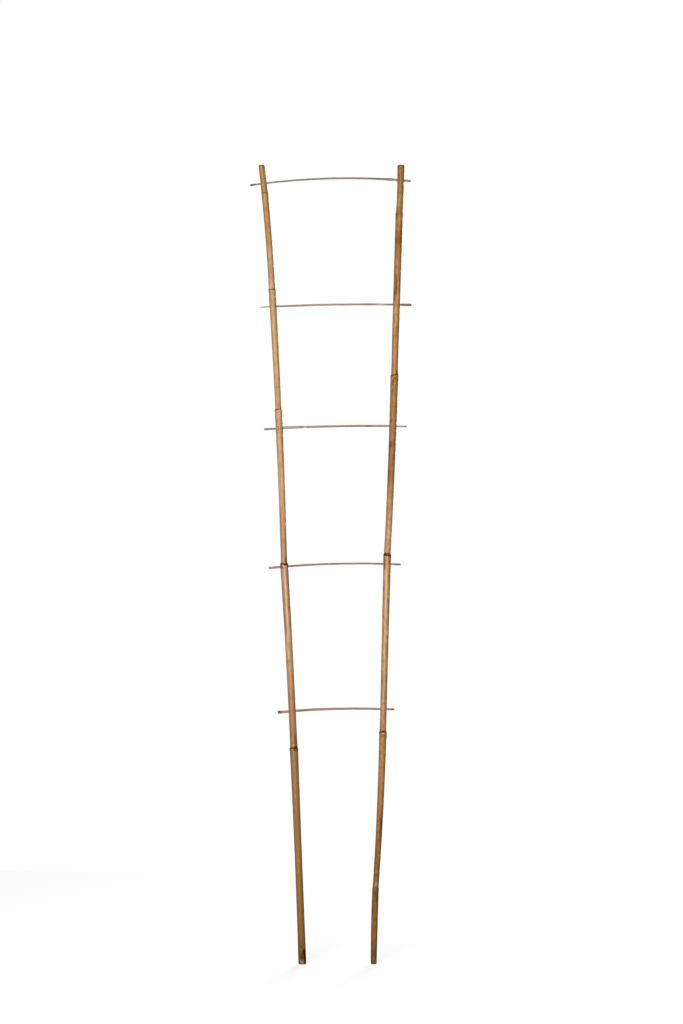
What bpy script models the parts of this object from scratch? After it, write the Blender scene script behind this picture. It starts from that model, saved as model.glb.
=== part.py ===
"""Bamboo ladder trellis: two natural canes that splay towards the top, joined by five bowed
rungs of split bamboo. Each rung is wedged in a hole drilled through each cane.

Metres, +Z up, +X across the ladder to its right, +Y to its back. The origin lies on the
ground under the middle of the ladder.
"""

from dataclasses import dataclass
from functools import cache
from math import ceil, cos, exp, hypot, pi, sin, tau

import bmesh
import bpy
from mathutils import Vector


@dataclass(frozen=True)
class Node:
    """A grown joint of a cane, and the internode under it."""

    run: float  # length of that internode
    stray: float  # how far right of the straight line from foot to tip the node lies
    depth: float  # how far behind that line it lies
    bow: float  # how far the internode bows to the right, half way along
    under: float  # diameter of the culm just under the node
    over: float  # diameter of the culm just over it
    belly: float  # how much thicker the internode is half way along than a straight taper
    ridge: float  # how far the node's ring stands proud
    lean: float  # how much higher the ring lies at its right edge than at its left


@dataclass(frozen=True)
class Cane:
    """One culm, sawn level at its foot and at its tip."""

    name: str
    foot_across: float  # the middle of its foot, across the ladder
    tip_across: float  # the middle of its tip, across the ladder
    foot_size: float  # diameter at its foot
    tip_size: float  # diameter at its tip
    tip_bow: float  # how far its last, sawn internode bows to the right
    tip_belly: float  # how much thicker that one is half way along than a straight taper
    hollow: float  # diameter of the air space inside it
    nodes: tuple  # from its foot up


@dataclass(frozen=True)
class Rung:
    """One bowed rung, given at the middles of the two canes that it goes through."""

    name: str
    drop: float  # how far its left crossing lies under the one above, or under the cane's tip
    climb: float  # how much higher its right crossing lies
    rise: float  # how far it bows upward, half way between the canes
    left_end: float  # how far it sticks out of the left cane's skin
    right_end: float  # how far it sticks out of the right cane's skin
    left_thick: float  # height of its section at its left end
    right_thick: float  # height of its section at its right end
    width: float  # its section, front to back


LADDER_HEIGHT = 1.500

LEFT_NODE_1 = Node(run=0.4042, stray=0.0048, depth=0.0015, bow=0.0004,
                   under=0.0158, over=0.0137, belly=-0.0015, ridge=0.0005, lean=0.0004)
LEFT_NODE_2 = Node(run=0.3467, stray=0.0042, depth=-0.0004, bow=0.0008,
                   under=0.0150, over=0.0117, belly=-0.0005, ridge=0.0005, lean=-0.0006)
LEFT_NODE_3 = Node(run=0.2903, stray=0.0085, depth=-0.0018, bow=0.0008,
                   under=0.0139, over=0.0114, belly=0.0, ridge=0.0003, lean=0.0044)
LEFT_NODE_4 = Node(run=0.2251, stray=0.0080, depth=-0.0010, bow=0.0004,
                   under=0.0135, over=0.0119, belly=0.0001, ridge=0.0003, lean=0.0004)
LEFT_NODE_5 = Node(run=0.1812, stray=0.0036, depth=0.0008, bow=0.0010,
                   under=0.0124, over=0.0119, belly=0.0001, ridge=0.0001, lean=0.0002)

LEFT_CANE = Cane(
    name="cane_left",
    foot_across=-0.0532,
    tip_across=-0.1302,
    foot_size=0.0150,
    tip_size=0.0118,
    tip_bow=0.0001,
    tip_belly=0.0,
    hollow=0.0052,
    nodes=(LEFT_NODE_1, LEFT_NODE_2, LEFT_NODE_3, LEFT_NODE_4, LEFT_NODE_5),
)

RIGHT_NODE_1 = Node(run=0.1427, stray=-0.0013, depth=0.0002, bow=-0.0005,
                    under=0.0120, over=0.0110, belly=0.0009, ridge=0.0001, lean=-0.0012)
RIGHT_NODE_2 = Node(run=0.2932, stray=0.0024, depth=-0.0020, bow=0.0016,
                    under=0.0138, over=0.0120, belly=0.0, ridge=0.0005, lean=0.0002)
RIGHT_NODE_3 = Node(run=0.3319, stray=-0.0007, depth=-0.0006, bow=-0.0001,
                    under=0.0144, over=0.0125, belly=-0.0003, ridge=0.0004, lean=-0.0004)
RIGHT_NODE_4 = Node(run=0.3379, stray=0.0014, depth=0.0018, bow=0.0011,
                    under=0.0148, over=0.0122, belly=-0.0003, ridge=0.0003, lean=0.0028)
RIGHT_NODE_5 = Node(run=0.3042, stray=0.0001, depth=0.0006, bow=-0.0002,
                    under=0.0139, over=0.0124, belly=0.0005, ridge=0.0002, lean=0.0004)

RIGHT_CANE = Cane(
    name="cane_right",
    foot_across=0.0806,
    tip_across=0.1317,
    foot_size=0.0112,
    tip_size=0.0138,
    tip_bow=0.0006,
    tip_belly=-0.0005,
    hollow=0.0048,
    nodes=(RIGHT_NODE_1, RIGHT_NODE_2, RIGHT_NODE_3, RIGHT_NODE_4, RIGHT_NODE_5),
)

RUNG_1 = Rung(name="rung_1", drop=0.0347, climb=0.0060, rise=0.0065, left_end=0.0195,
              right_end=0.0128, left_thick=0.0032, right_thick=0.0042, width=0.0038)
RUNG_2 = Rung(name="rung_2", drop=0.2313, climb=0.0039, rise=0.0019, left_end=0.0175,
              right_end=0.0217, left_thick=0.0036, right_thick=0.0037, width=0.0040)
RUNG_3 = Rung(name="rung_3", drop=0.2283, climb=0.0041, rise=0.0018, left_end=0.0219,
              right_end=0.0193, left_thick=0.0045, right_thick=0.0042, width=0.0042)
RUNG_4 = Rung(name="rung_4", drop=0.2598, climb=0.0051, rise=0.0028, left_end=0.0214,
              right_end=0.0189, left_thick=0.0039, right_thick=0.0038, width=0.0036)
RUNG_5 = Rung(name="rung_5", drop=0.2713, climb=0.0041, rise=0.0024, left_end=0.0204,
              right_end=0.0148, left_thick=0.0047, right_thick=0.0040, width=0.0040)

RUNGS = (RUNG_1, RUNG_2, RUNG_3, RUNG_4, RUNG_5)

# A node that would lie nearer than this to the sawn tip is sawn off.
LEAST_TIP = 0.020

# The culm swells towards each node, and its ring stands on that swelling.
SWELL = 0.0003
SWELL_REACH = 0.012
RIDGE_REACH = 0.0018
LEAN_REACH = 0.007

# A sawn end of a cane or of a rung has its edge taken off.
CANE_EDGE = 0.0014
RUNG_EDGE = 0.0004

# Inside, a wall closes the cane at each node, and the air space rounds off towards it.
DIAPHRAGM = 0.004
HOLLOW_ROUND = 0.002

# The gap all round between a rung and its drilled hole.
HOLE_CLEARANCE = 0.0003

# A rung's section is a rounded rectangle: a superellipse of this power.
SECTION_POWER = 2.6

# How finely round and bent shapes are cut into faces.
CANE_SIDES = 16
HOLLOW_SIDES = 10
HOLE_SIDES = 16
RUNG_SIDES = 12
CANE_STEP = 0.060
RUNG_STEP = 0.014
NODE_STEPS = (0.0007, 0.0026, 0.0065, 0.016)

# A cutter runs this far past the face that it opens.
OVERCUT = 0.004

# Faces that meet at a sharper turn than this are shaded as an edge.
SHARP_TURN = pi / 5

# Linear colour and roughness of the dried culm skins and of the split rungs.
HONEY = (0.56, 0.33, 0.15)
TAWNY = (0.46, 0.25, 0.10)
SPLIT_BROWN = (0.33, 0.24, 0.18)
CULM_ROUGHNESS = 0.42
SPLIT_ROUGHNESS = 0.7


@dataclass(frozen=True)
class Internode:
    """A stretch of cane between two levels, with the diameters at its ends."""

    low: float
    high: float
    start: Vector
    end: Vector
    bow: float
    over: float
    under: float
    belly: float

    def centre(self, height):
        """The middle of the culm at a height: a straight run, and a parabola that bows it."""
        t = (height - self.low) / (self.high - self.low)
        middle = self.start.lerp(self.end, t)
        middle.x += self.bow * 4 * t * (1 - t)
        return middle

    def radius(self, height):
        """Half the culm's diameter at a height, without the swelling at its nodes: a straight
        taper, and a parabola for its belly or its waist."""
        t = (height - self.low) / (self.high - self.low)
        return (self.over + (self.under - self.over) * t + self.belly * 4 * t * (1 - t)) / 2


@cache
def internodes(cane):
    """The cane's stretches, from its foot up to where it is sawn."""
    slant = (cane.tip_across - cane.foot_across) / LADDER_HEIGHT
    low, place, over = 0.0, Vector((cane.foot_across, 0)), cane.foot_size
    stretches = []
    for node in cane.nodes:
        high = low + node.run
        if high > LADDER_HEIGHT - LEAST_TIP:
            break
        next_place = Vector((cane.foot_across + slant * high + node.stray, node.depth))
        ends = (low, high, place, next_place)
        stretches.append(Internode(*ends, node.bow, over, node.under, node.belly))
        low, place, over = high, next_place, node.over
    tip = Vector((cane.tip_across, 0))
    ends = (low, LADDER_HEIGHT, place, tip)
    stretches.append(Internode(*ends, cane.tip_bow, over, cane.tip_size, cane.tip_belly))
    return stretches


def node_levels(cane):
    """Each node that the sawn cane still has, with its height."""
    return [(node, stretch.high) for node, stretch in zip(cane.nodes, internodes(cane)[:-1])]


def internode_at(cane, height):
    """The stretch that holds a height. Past an end of the cane it is the last one there."""
    stretches = internodes(cane)
    for stretch in stretches:
        if height < stretch.high:
            return stretch
    return stretches[-1]


def centre(cane, height):
    """The middle of the cane at a height."""
    return internode_at(cane, height).centre(height)


def skin_radius(cane, height):
    """The cane's outer radius: its taper, the swelling towards each node, and the rings."""
    radius = internode_at(cane, height).radius(height)
    for node, level in node_levels(cane):
        away = abs(height - level)
        radius += SWELL * exp(-away / SWELL_REACH)
        radius += node.ridge * exp(-((away / RIDGE_REACH) ** 2))
    return radius


def ring_lean(cane, height):
    """How much higher the culm's section lies at its right edge, near a slanted node."""
    return sum(
        node.lean * exp(-(((height - level) / LEAN_REACH) ** 2))
        for node, level in node_levels(cane)
    )


def spread(low, high, step):
    """Even heights from low to high, no more than a step apart."""
    count = max(1, ceil((high - low) / step))
    return [low + (high - low) * i / count for i in range(count + 1)]


def loft(name, rings):
    """A closed solid through rings of points, each ring counter-clockwise about its way on."""
    shape = bmesh.new()
    loops = [[shape.verts.new(point) for point in ring] for ring in rings]
    sides = len(rings[0])
    for below, above in zip(loops, loops[1:]):
        for i in range(sides):
            j = (i + 1) % sides
            shape.faces.new((below[i], below[j], above[j], above[i]))
    shape.faces.new(loops[0][::-1])
    shape.faces.new(loops[-1])
    mesh = bpy.data.meshes.new(name)
    shape.to_mesh(mesh)
    shape.free()
    mesh.shade_smooth()
    mesh.set_sharp_from_angle(angle=SHARP_TURN)
    item = bpy.data.objects.new(name, mesh)
    bpy.context.scene.collection.objects.link(item)
    return item


def level_ring(middle, height, radius, sides, lean=0.0):
    """A level ring of points, or one that lies higher on its right by the lean."""
    ring = []
    for i in range(sides):
        turn = tau * i / sides
        side = Vector((cos(turn), sin(turn))) * radius
        ring.append((middle.x + side.x, middle.y + side.y, height + lean / 2 * cos(turn)))
    return ring


def cane_heights(cane):
    """The heights of the cane's rings: close together at nodes and sawn ends, wide between."""
    stretches = internodes(cane)
    heights = []
    for stretch in stretches:
        first, last = stretch is stretches[0], stretch is stretches[-1]
        low = CANE_EDGE if first else stretch.low + NODE_STEPS[-1]
        high = stretch.high - (CANE_EDGE if last else NODE_STEPS[-1])
        if not first:
            heights += [stretch.low + step for step in NODE_STEPS[:-1]]
        heights += spread(low, high, CANE_STEP)
        if not last:
            heights += [stretch.high - step for step in NODE_STEPS[-2::-1]]
    return heights


def culm(cane):
    """The cane's outer body, with its sawn ends level and their edges taken off."""

    def ring(height, inset=0.0):
        radius = skin_radius(cane, height) - inset
        return level_ring(centre(cane, height), height, radius, CANE_SIDES, ring_lean(cane, height))

    rings = [ring(height) for height in cane_heights(cane)]
    return loft(cane.name, [ring(0.0, CANE_EDGE), *rings, ring(LADDER_HEIGHT, CANE_EDGE)])


def hollow_body(cane, stretch, opens_down, opens_up):
    """The air space of one internode, between the walls at its nodes or out of a sawn end."""
    low = stretch.low - OVERCUT if opens_down else stretch.low + DIAPHRAGM / 2
    high = stretch.high + OVERCUT if opens_up else stretch.high - DIAPHRAGM / 2
    radius = cane.hollow / 2
    low_ring = (low, radius) if opens_down else (low, radius - HOLLOW_ROUND)
    high_ring = (high, radius) if opens_up else (high, radius - HOLLOW_ROUND)
    between = spread(low + HOLLOW_ROUND, high - HOLLOW_ROUND, CANE_STEP)
    profile = [low_ring, *[(height, radius) for height in between], high_ring]
    rings = [level_ring(stretch.centre(z), z, r, HOLLOW_SIDES) for z, r in profile]
    return loft(f"{cane.name}_hollow", rings)


def left_height(rung):
    """The height of a rung where it crosses the middle of the left cane."""
    down_to_it = RUNGS[: RUNGS.index(rung) + 1]
    return LADDER_HEIGHT - sum(each.drop for each in down_to_it)


def crossing(rung, cane):
    """The point where a rung crosses the middle of a cane."""
    height = left_height(rung) + (0.0 if cane is LEFT_CANE else rung.climb)
    middle = centre(cane, height)
    return Vector((middle.x, middle.y, height))


def rung_point(rung, u):
    """The rung's middle, u going from 0 at the left crossing to 1 at the right one: a straight
    run between the crossings, raised by a parabola that carries on past both canes."""
    point = crossing(rung, LEFT_CANE).lerp(crossing(rung, RIGHT_CANE), u)
    point.z += rung.rise * 4 * u * (1 - u)
    return point


def rung_axes(rung, u):
    """The rung's heading at u towards its right end, with what is back and up across it."""
    heading = crossing(rung, RIGHT_CANE) - crossing(rung, LEFT_CANE)
    heading.z += rung.rise * 4 * (1 - 2 * u)
    heading.normalize()
    back = Vector((-heading.y, heading.x, 0)).normalized()
    return heading, back, heading.cross(back)


def rung_ends(rung):
    """Where the rung's two ends lie, in u."""
    left, right = crossing(rung, LEFT_CANE), crossing(rung, RIGHT_CANE)
    span = right.x - left.x
    left_reach = skin_radius(LEFT_CANE, left.z) + rung.left_end
    right_reach = skin_radius(RIGHT_CANE, right.z) + rung.right_end
    return -left_reach / span, 1 + right_reach / span


def rung_section(rung, u, inset=0.0):
    """The rung's section at u, as pairs of how far back and how far up each point lies."""
    first, last = rung_ends(rung)
    along = (u - first) / (last - first)
    thick = rung.left_thick + (rung.right_thick - rung.left_thick) * along
    section = []
    for i in range(RUNG_SIDES):
        turn = tau * (i + 0.5) / RUNG_SIDES
        fullness = abs(cos(turn)) ** SECTION_POWER + abs(sin(turn)) ** SECTION_POWER
        reach = fullness ** (-1 / SECTION_POWER)
        back = (rung.width / 2 - inset) * reach * cos(turn)
        up = (thick / 2 - inset) * reach * sin(turn)
        section.append((back, up))
    return section


def rung_ring(rung, u, inset=0.0):
    """The rung's section set square to its heading."""
    _, back, up = rung_axes(rung, u)
    middle = rung_point(rung, u)
    return [middle + back * b + up * h for b, h in rung_section(rung, u, inset)]


def rung_body(rung):
    """One bowed rung with its sawn ends' edges taken off."""
    first, last = rung_ends(rung)
    length = crossing(rung, RIGHT_CANE).x - crossing(rung, LEFT_CANE).x
    edge = RUNG_EDGE / length
    stops = spread(first + edge, last - edge, RUNG_STEP / length)
    left_face = rung_ring(rung, first, RUNG_EDGE)
    right_face = rung_ring(rung, last, RUNG_EDGE)
    return loft(rung.name, [left_face, *[rung_ring(rung, u) for u in stops], right_face])


def drilled_hole(rung, cane):
    """The round hole that a rung is wedged in, along the rung's heading through the cane."""
    u = 0.0 if cane is LEFT_CANE else 1.0
    middle = crossing(rung, cane)
    heading, back, up = rung_axes(rung, u)
    radius = max(hypot(b, h) for b, h in rung_section(rung, u)) + HOLE_CLEARANCE
    reach = skin_radius(cane, middle.z) + OVERCUT
    rings = []
    for way in (-reach, reach):
        ring = []
        for i in range(HOLE_SIDES):
            turn = tau * i / HOLE_SIDES
            side = back * radius * cos(turn) + up * radius * sin(turn)
            ring.append(middle + heading * way + side)
        rings.append(ring)
    return loft(f"{cane.name}_{rung.name}_hole", rings)


def cutters(cane):
    """All that is taken out of a cane. An internode that neither a sawn end nor a hole opens
    stays solid, because its air space is sealed."""
    stretches = internodes(cane)
    items = [drilled_hole(rung, cane) for rung in RUNGS]
    for stretch in stretches:
        opens_down, opens_up = stretch is stretches[0], stretch is stretches[-1]
        drilled = any(stretch.low < crossing(rung, cane).z < stretch.high for rung in RUNGS)
        if opens_down or opens_up or drilled:
            items.append(hollow_body(cane, stretch, opens_down, opens_up))
    return items


def cut(item, tools):
    """Takes the tools' shapes out of an item."""
    group = bpy.data.collections.new(f"{item.name}_cutters")
    bpy.context.scene.collection.children.link(group)
    for tool in tools:
        bpy.context.scene.collection.objects.unlink(tool)
        group.objects.link(tool)
        tool.hide_render = True
        tool.display_type = "WIRE"
    taken = item.modifiers.new("Drilled and hollow", "BOOLEAN")
    taken.operand_type = "COLLECTION"
    taken.collection = group


def finish(name, colour, roughness):
    """A plain material of one colour."""
    material = bpy.data.materials.new(name)
    material.use_nodes = True
    surface = material.node_tree.nodes["Principled BSDF"]
    surface.inputs["Base Color"].default_value = (*colour, 1.0)
    surface.inputs["Roughness"].default_value = roughness
    surface.inputs["Metallic"].default_value = 0.0
    return material


def build():
    """Models the two canes and the five rungs."""
    for item in list(bpy.data.objects):
        bpy.data.objects.remove(item, do_unlink=True)
    skins = {
        LEFT_CANE: finish("honey_culm", HONEY, CULM_ROUGHNESS),
        RIGHT_CANE: finish("tawny_culm", TAWNY, CULM_ROUGHNESS),
    }
    for cane, skin in skins.items():
        body = culm(cane)
        body.data.materials.append(skin)
        cut(body, cutters(cane))
    split = finish("split_bamboo", SPLIT_BROWN, SPLIT_ROUGHNESS)
    for rung in RUNGS:
        rung_body(rung).data.materials.append(split)


build()
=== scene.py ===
"""Dresses the bamboo ladder trellis: two dried canes that splay towards the top, and five bowed
rungs of split bamboo, each wedged in a hole drilled through both canes.

Metres, +Z up, +X across the ladder to its right, +Y to its back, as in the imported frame. A turn
round a cane is measured in degrees from the side that faces the camera, -Y, and is positive
towards its right.
"""

import logging
from collections.abc import Iterable, Sequence
from dataclasses import dataclass
from enum import Enum, IntEnum
from math import radians

import bpy
import numpy as np
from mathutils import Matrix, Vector

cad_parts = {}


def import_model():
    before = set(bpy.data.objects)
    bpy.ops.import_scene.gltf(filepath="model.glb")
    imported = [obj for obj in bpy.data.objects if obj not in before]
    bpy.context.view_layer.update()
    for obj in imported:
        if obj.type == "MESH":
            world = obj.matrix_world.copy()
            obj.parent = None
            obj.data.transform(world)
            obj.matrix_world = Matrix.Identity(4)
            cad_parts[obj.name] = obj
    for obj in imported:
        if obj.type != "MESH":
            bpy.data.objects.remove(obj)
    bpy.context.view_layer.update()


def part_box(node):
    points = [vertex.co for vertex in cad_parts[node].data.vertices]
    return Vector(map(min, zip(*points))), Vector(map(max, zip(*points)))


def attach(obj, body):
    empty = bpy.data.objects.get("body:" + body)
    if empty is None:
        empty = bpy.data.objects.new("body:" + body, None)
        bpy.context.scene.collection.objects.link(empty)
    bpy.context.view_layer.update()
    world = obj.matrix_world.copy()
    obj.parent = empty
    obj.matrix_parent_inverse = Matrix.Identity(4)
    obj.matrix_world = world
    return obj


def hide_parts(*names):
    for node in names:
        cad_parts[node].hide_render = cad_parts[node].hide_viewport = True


Array = np.ndarray
Material = bpy.types.Material
Piece = bpy.types.Object
Socket = bpy.types.NodeSocket
Tree = bpy.types.NodeTree
Stops = Iterable[tuple[float, str]]

# Where a noise is on the way from one value to another, and those two values.
Ramp = tuple[float, float, float, float]

LOG = logging.getLogger("bamboo_ladder")

LADDER_HEIGHT = 1.500
MILLIMETRE = 0.001

# As a mark's reach, these take in the whole round of a cane and the whole length of a rung.
ALL_ROUND = 1000.0
ALL_ALONG = 1.0

# The power of a bell with a flat top.
FLAT_TOP = 4

# The culm swells towards each node, and its ring stands on that swelling, a bit ragged.
SWELL = 0.0003
SWELL_REACH = 0.012
RIDGE_REACH = 0.0018
RAGGED = 0.00022
RAGGED_WAVES = (2, 5, 9, 14)

# The sheath that once wrapped the culm left a thin proud scar, with a shallow groove over it.
SCAR_PROUD = 0.00012
SCAR_REACH = 0.00040
GROOVE_DEEP = 0.00010
GROOVE_ABOVE = 0.0014
GROOVE_REACH = 0.0006

# The scar shows as a dark line with a fainter one round it, and is darker on one side.
SCAR_LINE = 0.0009
SCAR_HALO = 0.25
SCAR_HALO_REACH = 0.0022
SCAR_SIDE = 0.25
FAINT_RING = 0.22

# Over this height a culm steps in from the internode below a node to the one above it. The
# limit keeps the curve's power within what a number can hold.
STEP_REACH = 0.0006
STEP_LIMIT = 40

# A culm is a little flattened, and the flat turns slowly along it. Over a bud runs a channel.
FLATTENING = 0.014
FLAT_TURNING = 1.7
FACET_DEEP = 0.00003
FACET_WAVES = (3, 5, 8, 13)
SULCUS_DEEP = 0.00028
SULCUS_WIDE = 26.0
SULCUS_LONG = 0.040

# Painted light and shade: round each cane its colour is lightest at this turn, near the front, and
# falls off to painted shade this far round to each side.
PAINTED_LIGHT_TURN = -4.0
PAINTED_LIGHT_WIDE = 38.0

# Sawn ends, their rims worn round, and the air space inside the culm.
FOOT_RIM = 0.0020
FOOT_INSET = 0.0018
TIP_RIM = 0.0034
TIP_INSET = 0.0026
BORE_EDGE = 0.0003
DIAPHRAGM = 0.004
HOLLOW_ROUND = 0.002

# A rung's section is a rounded rectangle: a superellipse of this power, cut by ridges of fibre.
SECTION_POWER = 2.6
RUNG_EDGE = 0.0004
RUNG_EDGE_RINGS = 3
RUNG_WAVER = 0.03
RUNG_WANDER = 0.00010
RUNG_FIBRE = 0.00004
FIBRE_WAVES = (9, 13, 20)
FIBRE_SWAY = 6
RUNG_TWIST = 5.0
HOLE_CLEARANCE = 0.0003
OVERCUT = 0.004

# How a rung drifts along its length: the wavelengths of each drift.
THICK_DRIFT = (0.017, 0.041, 0.103)
WIDE_DRIFT = (0.023, 0.061)
SWAY_DRIFT = (0.029, 0.07)
TWIST_DRIFT = (0.19, 0.33)
ASIDE_DRIFT = (0.047, 0.09)
ABOVE_DRIFT = (0.037, 0.08)

# A rung's ends are roughly sawn and grimy.
END_MARGIN = 0.0003
END_ROUGH = 0.00016
END_WAVES = ((1, 4, 7), (1, 3, 8))
END_GRIME = 0.45
END_GRIME_REACH = 0.0025

# How finely the meshes are cut: the sides of sections, the steps between rows in metres, and
# how many rows there are to a mark's reach.
CULM_SIDES = 88
BORE_SIDES = 48
RUNG_SIDES = 44
ROW_STEP = 0.0032
NODE_ROW_STEP = 0.0003
NODE_ROW_REACH = 0.006
MARK_ROWS = 2.2
CAVITY_STEP = 0.020
END_RINGS = 5
RUNG_STEP = 0.0011
SHARP_TURN = 38.0

# The turns of a rung's corners round its section, in radians.
RUNG_TURNS = (np.arange(RUNG_SIDES) + 0.5) * 2 * np.pi / RUNG_SIDES


def linear(colour: str) -> tuple[float, ...]:
    """Turns an sRGB hex colour into linear red, green, blue and alpha.

    Args:
        colour: the colour as # and six hex digits.

    Returns:
        The linear colour, opaque.
    """
    parts = [int(colour[i : i + 2], 16) / 255 for i in (1, 3, 5)]
    return (*[p / 12.92 if p <= 0.04045 else ((p + 0.055) / 1.055) ** 2.4 for p in parts], 1.0)


def bell(away: Array, power: int = 2) -> Array:
    """A bell: one at zero, and exp(-away ** power) around it, flatter on top by the power."""
    return np.exp(-(away**power))


def wrapped(turn: Array) -> Array:
    """Brings turns in degrees into the half circle on each side of zero."""
    return (turn + 180.0) % 360.0 - 180.0


def drift(along: Array, lengths: Sequence[float], seed: int) -> Array:
    """A wavy value between -1 and 1: the mean of cosines, each with its own wavelength.

    Args:
        along: places along a piece, or turns round it.
        lengths: the cosines' wavelengths, in the same unit.
        seed: picks the cosines' phases.

    Returns:
        The value at each place.
    """
    phases = np.random.default_rng(seed).uniform(0.0, 2 * np.pi, len(lengths))
    waves = [np.cos(2 * np.pi * along / size + p) for size, p in zip(lengths, phases)]
    return np.sum(waves, axis=0) / len(lengths)


def ripple(turn: Array, counts: Sequence[int], seed: int) -> Array:
    """A wavy value round a section, in which each cosine has a whole count of waves."""
    return drift(turn, [360.0 / count for count in counts], seed)


def even(low: float, high: float, step: float) -> Array:
    """Even places from low to high, about a step apart."""
    return np.linspace(low, high, max(2, round(abs(high - low) / step) + 1))


def superellipse(turn: Array) -> Array:
    """How far a superellipse of unit half-axes reaches, with the half-axes' share in each turn."""
    full = np.abs(np.cos(turn)) ** SECTION_POWER + np.abs(np.sin(turn)) ** SECTION_POWER
    return full ** (-1 / SECTION_POWER)


@dataclass
class Shell:
    """One closed surface, as points with faces, each face with the number of its finish."""

    points: Array
    quads: Array
    fans: Array
    quad_finish: Array
    fan_finish: Array

    @classmethod
    def lofted(cls, rings: Array, finish: Array) -> "Shell":
        """Closes a loft through rings of points with a fan at each end.

        A ring turns counter-clockwise about the way on to the next, so that the faces look
        outwards. Two neighbours on a ring and the two next to them on the ring after make a
        four-sided face, and the middle of an end ring joins each of its edges in a triangle.

        Args:
            rings: points by ring, by side, by axis.
            finish: the finish of the band from each ring to the next.

        Returns:
            The shell.
        """
        count, sides, _ = rings.shape
        ids = np.arange(count * sides).reshape(count, sides)
        beside = np.roll(ids, -1, axis=1)
        first, last = count * sides, count * sides + 1
        start = np.stack([np.full(sides, first), beside[0], ids[0]], axis=-1)
        end = np.stack([np.full(sides, last), ids[-1], beside[-1]], axis=-1)
        middles = np.stack([rings[0].mean(axis=0), rings[-1].mean(axis=0)])
        return cls(
            points=np.concatenate([rings.reshape(-1, 3), middles]),
            quads=np.stack([ids[:-1], beside[:-1], beside[1:], ids[1:]], axis=-1).reshape(-1, 4),
            fans=np.concatenate([start, end]),
            quad_finish=np.repeat(finish, sides),
            fan_finish=np.repeat([finish[0], finish[-1]], sides),
        )

    @classmethod
    def together(cls, shells: Sequence["Shell"]) -> "Shell":
        """Puts several shells into one, the points of each counted on from the one before.

        Args:
            shells: the shells.

        Returns:
            All of them as one.
        """
        offsets = np.cumsum([0, *[len(shell.points) for shell in shells[:-1]]])
        return cls(
            points=np.concatenate([shell.points for shell in shells]),
            quads=np.concatenate([s.quads + k for s, k in zip(shells, offsets)]),
            fans=np.concatenate([s.fans + k for s, k in zip(shells, offsets)]),
            quad_finish=np.concatenate([shell.quad_finish for shell in shells]),
            fan_finish=np.concatenate([shell.fan_finish for shell in shells]),
        )

    def put(self, name: str, finishes: Sequence[Material]) -> Piece:
        """Makes the shell an object at the origin.

        Args:
            name: the object's name.
            finishes: its materials, in the order of the faces' finish numbers.

        Returns:
            The object, in the scene.
        """
        corners = np.concatenate([self.quads.ravel(), self.fans.ravel()])
        sizes = np.repeat([4, 3], [len(self.quads), len(self.fans)])
        finish = np.concatenate([self.quad_finish, self.fan_finish])
        mesh = bpy.data.meshes.new(name)
        mesh.vertices.add(len(self.points))
        mesh.vertices.foreach_set("co", self.points.astype(np.float32).ravel())
        mesh.loops.add(len(corners))
        mesh.loops.foreach_set("vertex_index", corners.astype(np.int32))
        mesh.polygons.add(len(sizes))
        mesh.polygons.foreach_set("loop_start", np.cumsum([0, *sizes[:-1]]).astype(np.int32))
        mesh.polygons.foreach_set("material_index", finish.astype(np.int32))
        mesh.update(calc_edges=True)
        for material in finishes:
            mesh.materials.append(material)
        return show(name, mesh)


def show(name: str, data: bpy.types.ID) -> Piece:
    """Puts a mesh, a lamp or a camera into the scene as an object.

    Args:
        name: the object's name.
        data: what it shows.

    Returns:
        The object, at the origin.
    """
    item = bpy.data.objects.new(name, data)
    bpy.context.scene.collection.objects.link(item)
    return item


def points_of(mesh: bpy.types.Mesh) -> Array:
    """Reads the points of a mesh.

    Args:
        mesh: the mesh.

    Returns:
        The points, one row each.
    """
    flat = np.empty(len(mesh.vertices) * 3, np.float32)
    mesh.vertices.foreach_get("co", flat)
    return flat.reshape(-1, 3).astype(float)


def write_values(mesh: bpy.types.Mesh, values: dict[str, Array]) -> None:
    """Stores numbers, or vectors, for the points of a mesh.

    Args:
        mesh: the mesh.
        values: for each name, the number or the vector at each point.
    """
    for name, value in values.items():
        kind, field = ("FLOAT_VECTOR", "vector") if value.ndim > 1 else ("FLOAT", "value")
        layer = mesh.attributes.new(name, kind, "POINT")
        layer.data.foreach_set(field, value.astype(np.float32).ravel())


def shade(mesh: bpy.types.Mesh) -> None:
    """Shades a mesh smooth, with an edge where its faces meet at a sharp turn."""
    mesh.shade_smooth()
    mesh.set_sharp_from_angle(angle=radians(SHARP_TURN))


def feed(tree: Tree, socket: Socket, value: object) -> None:
    """Links an output to a socket, or sets the socket to a plain value.

    Args:
        tree: the nodes.
        socket: the socket.
        value: the output or the value, or None to leave the socket as it is.
    """
    if isinstance(value, bpy.types.NodeSocket):
        tree.links.new(value, socket)
    elif value is not None:
        socket.default_value = value


def add_node(
    tree: Tree, kind: str, *feeds: object, out: str = "", stops: Stops = (), **settings: object
) -> Socket:
    """Adds a shader node with its settings and links.

    Args:
        tree: the nodes that it joins.
        kind: the node's type, without the ShaderNode in front.
        *feeds: for each of its sockets in their order, the output that feeds it, a plain value,
            or None to leave it as it is.
        out: the output that is wanted, where it isn't the first one.
        stops: a colour ramp's places and sRGB hex colours.
        **settings: the node's properties.

    Returns:
        The output.
    """
    node = tree.nodes.new(f"ShaderNode{kind}")
    for name, value in settings.items():
        setattr(node, name, value)
    for socket, value in zip([socket for socket in node.inputs if socket.enabled], feeds):
        feed(tree, socket, value)
    for number, (place, colour) in enumerate(stops):
        elements = node.color_ramp.elements
        element = elements[number] if number < len(elements) else elements.new(place)
        element.position = place
        element.color = linear(colour)
    return node.outputs[out] if out else next(socket for socket in node.outputs if socket.enabled)


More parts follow.
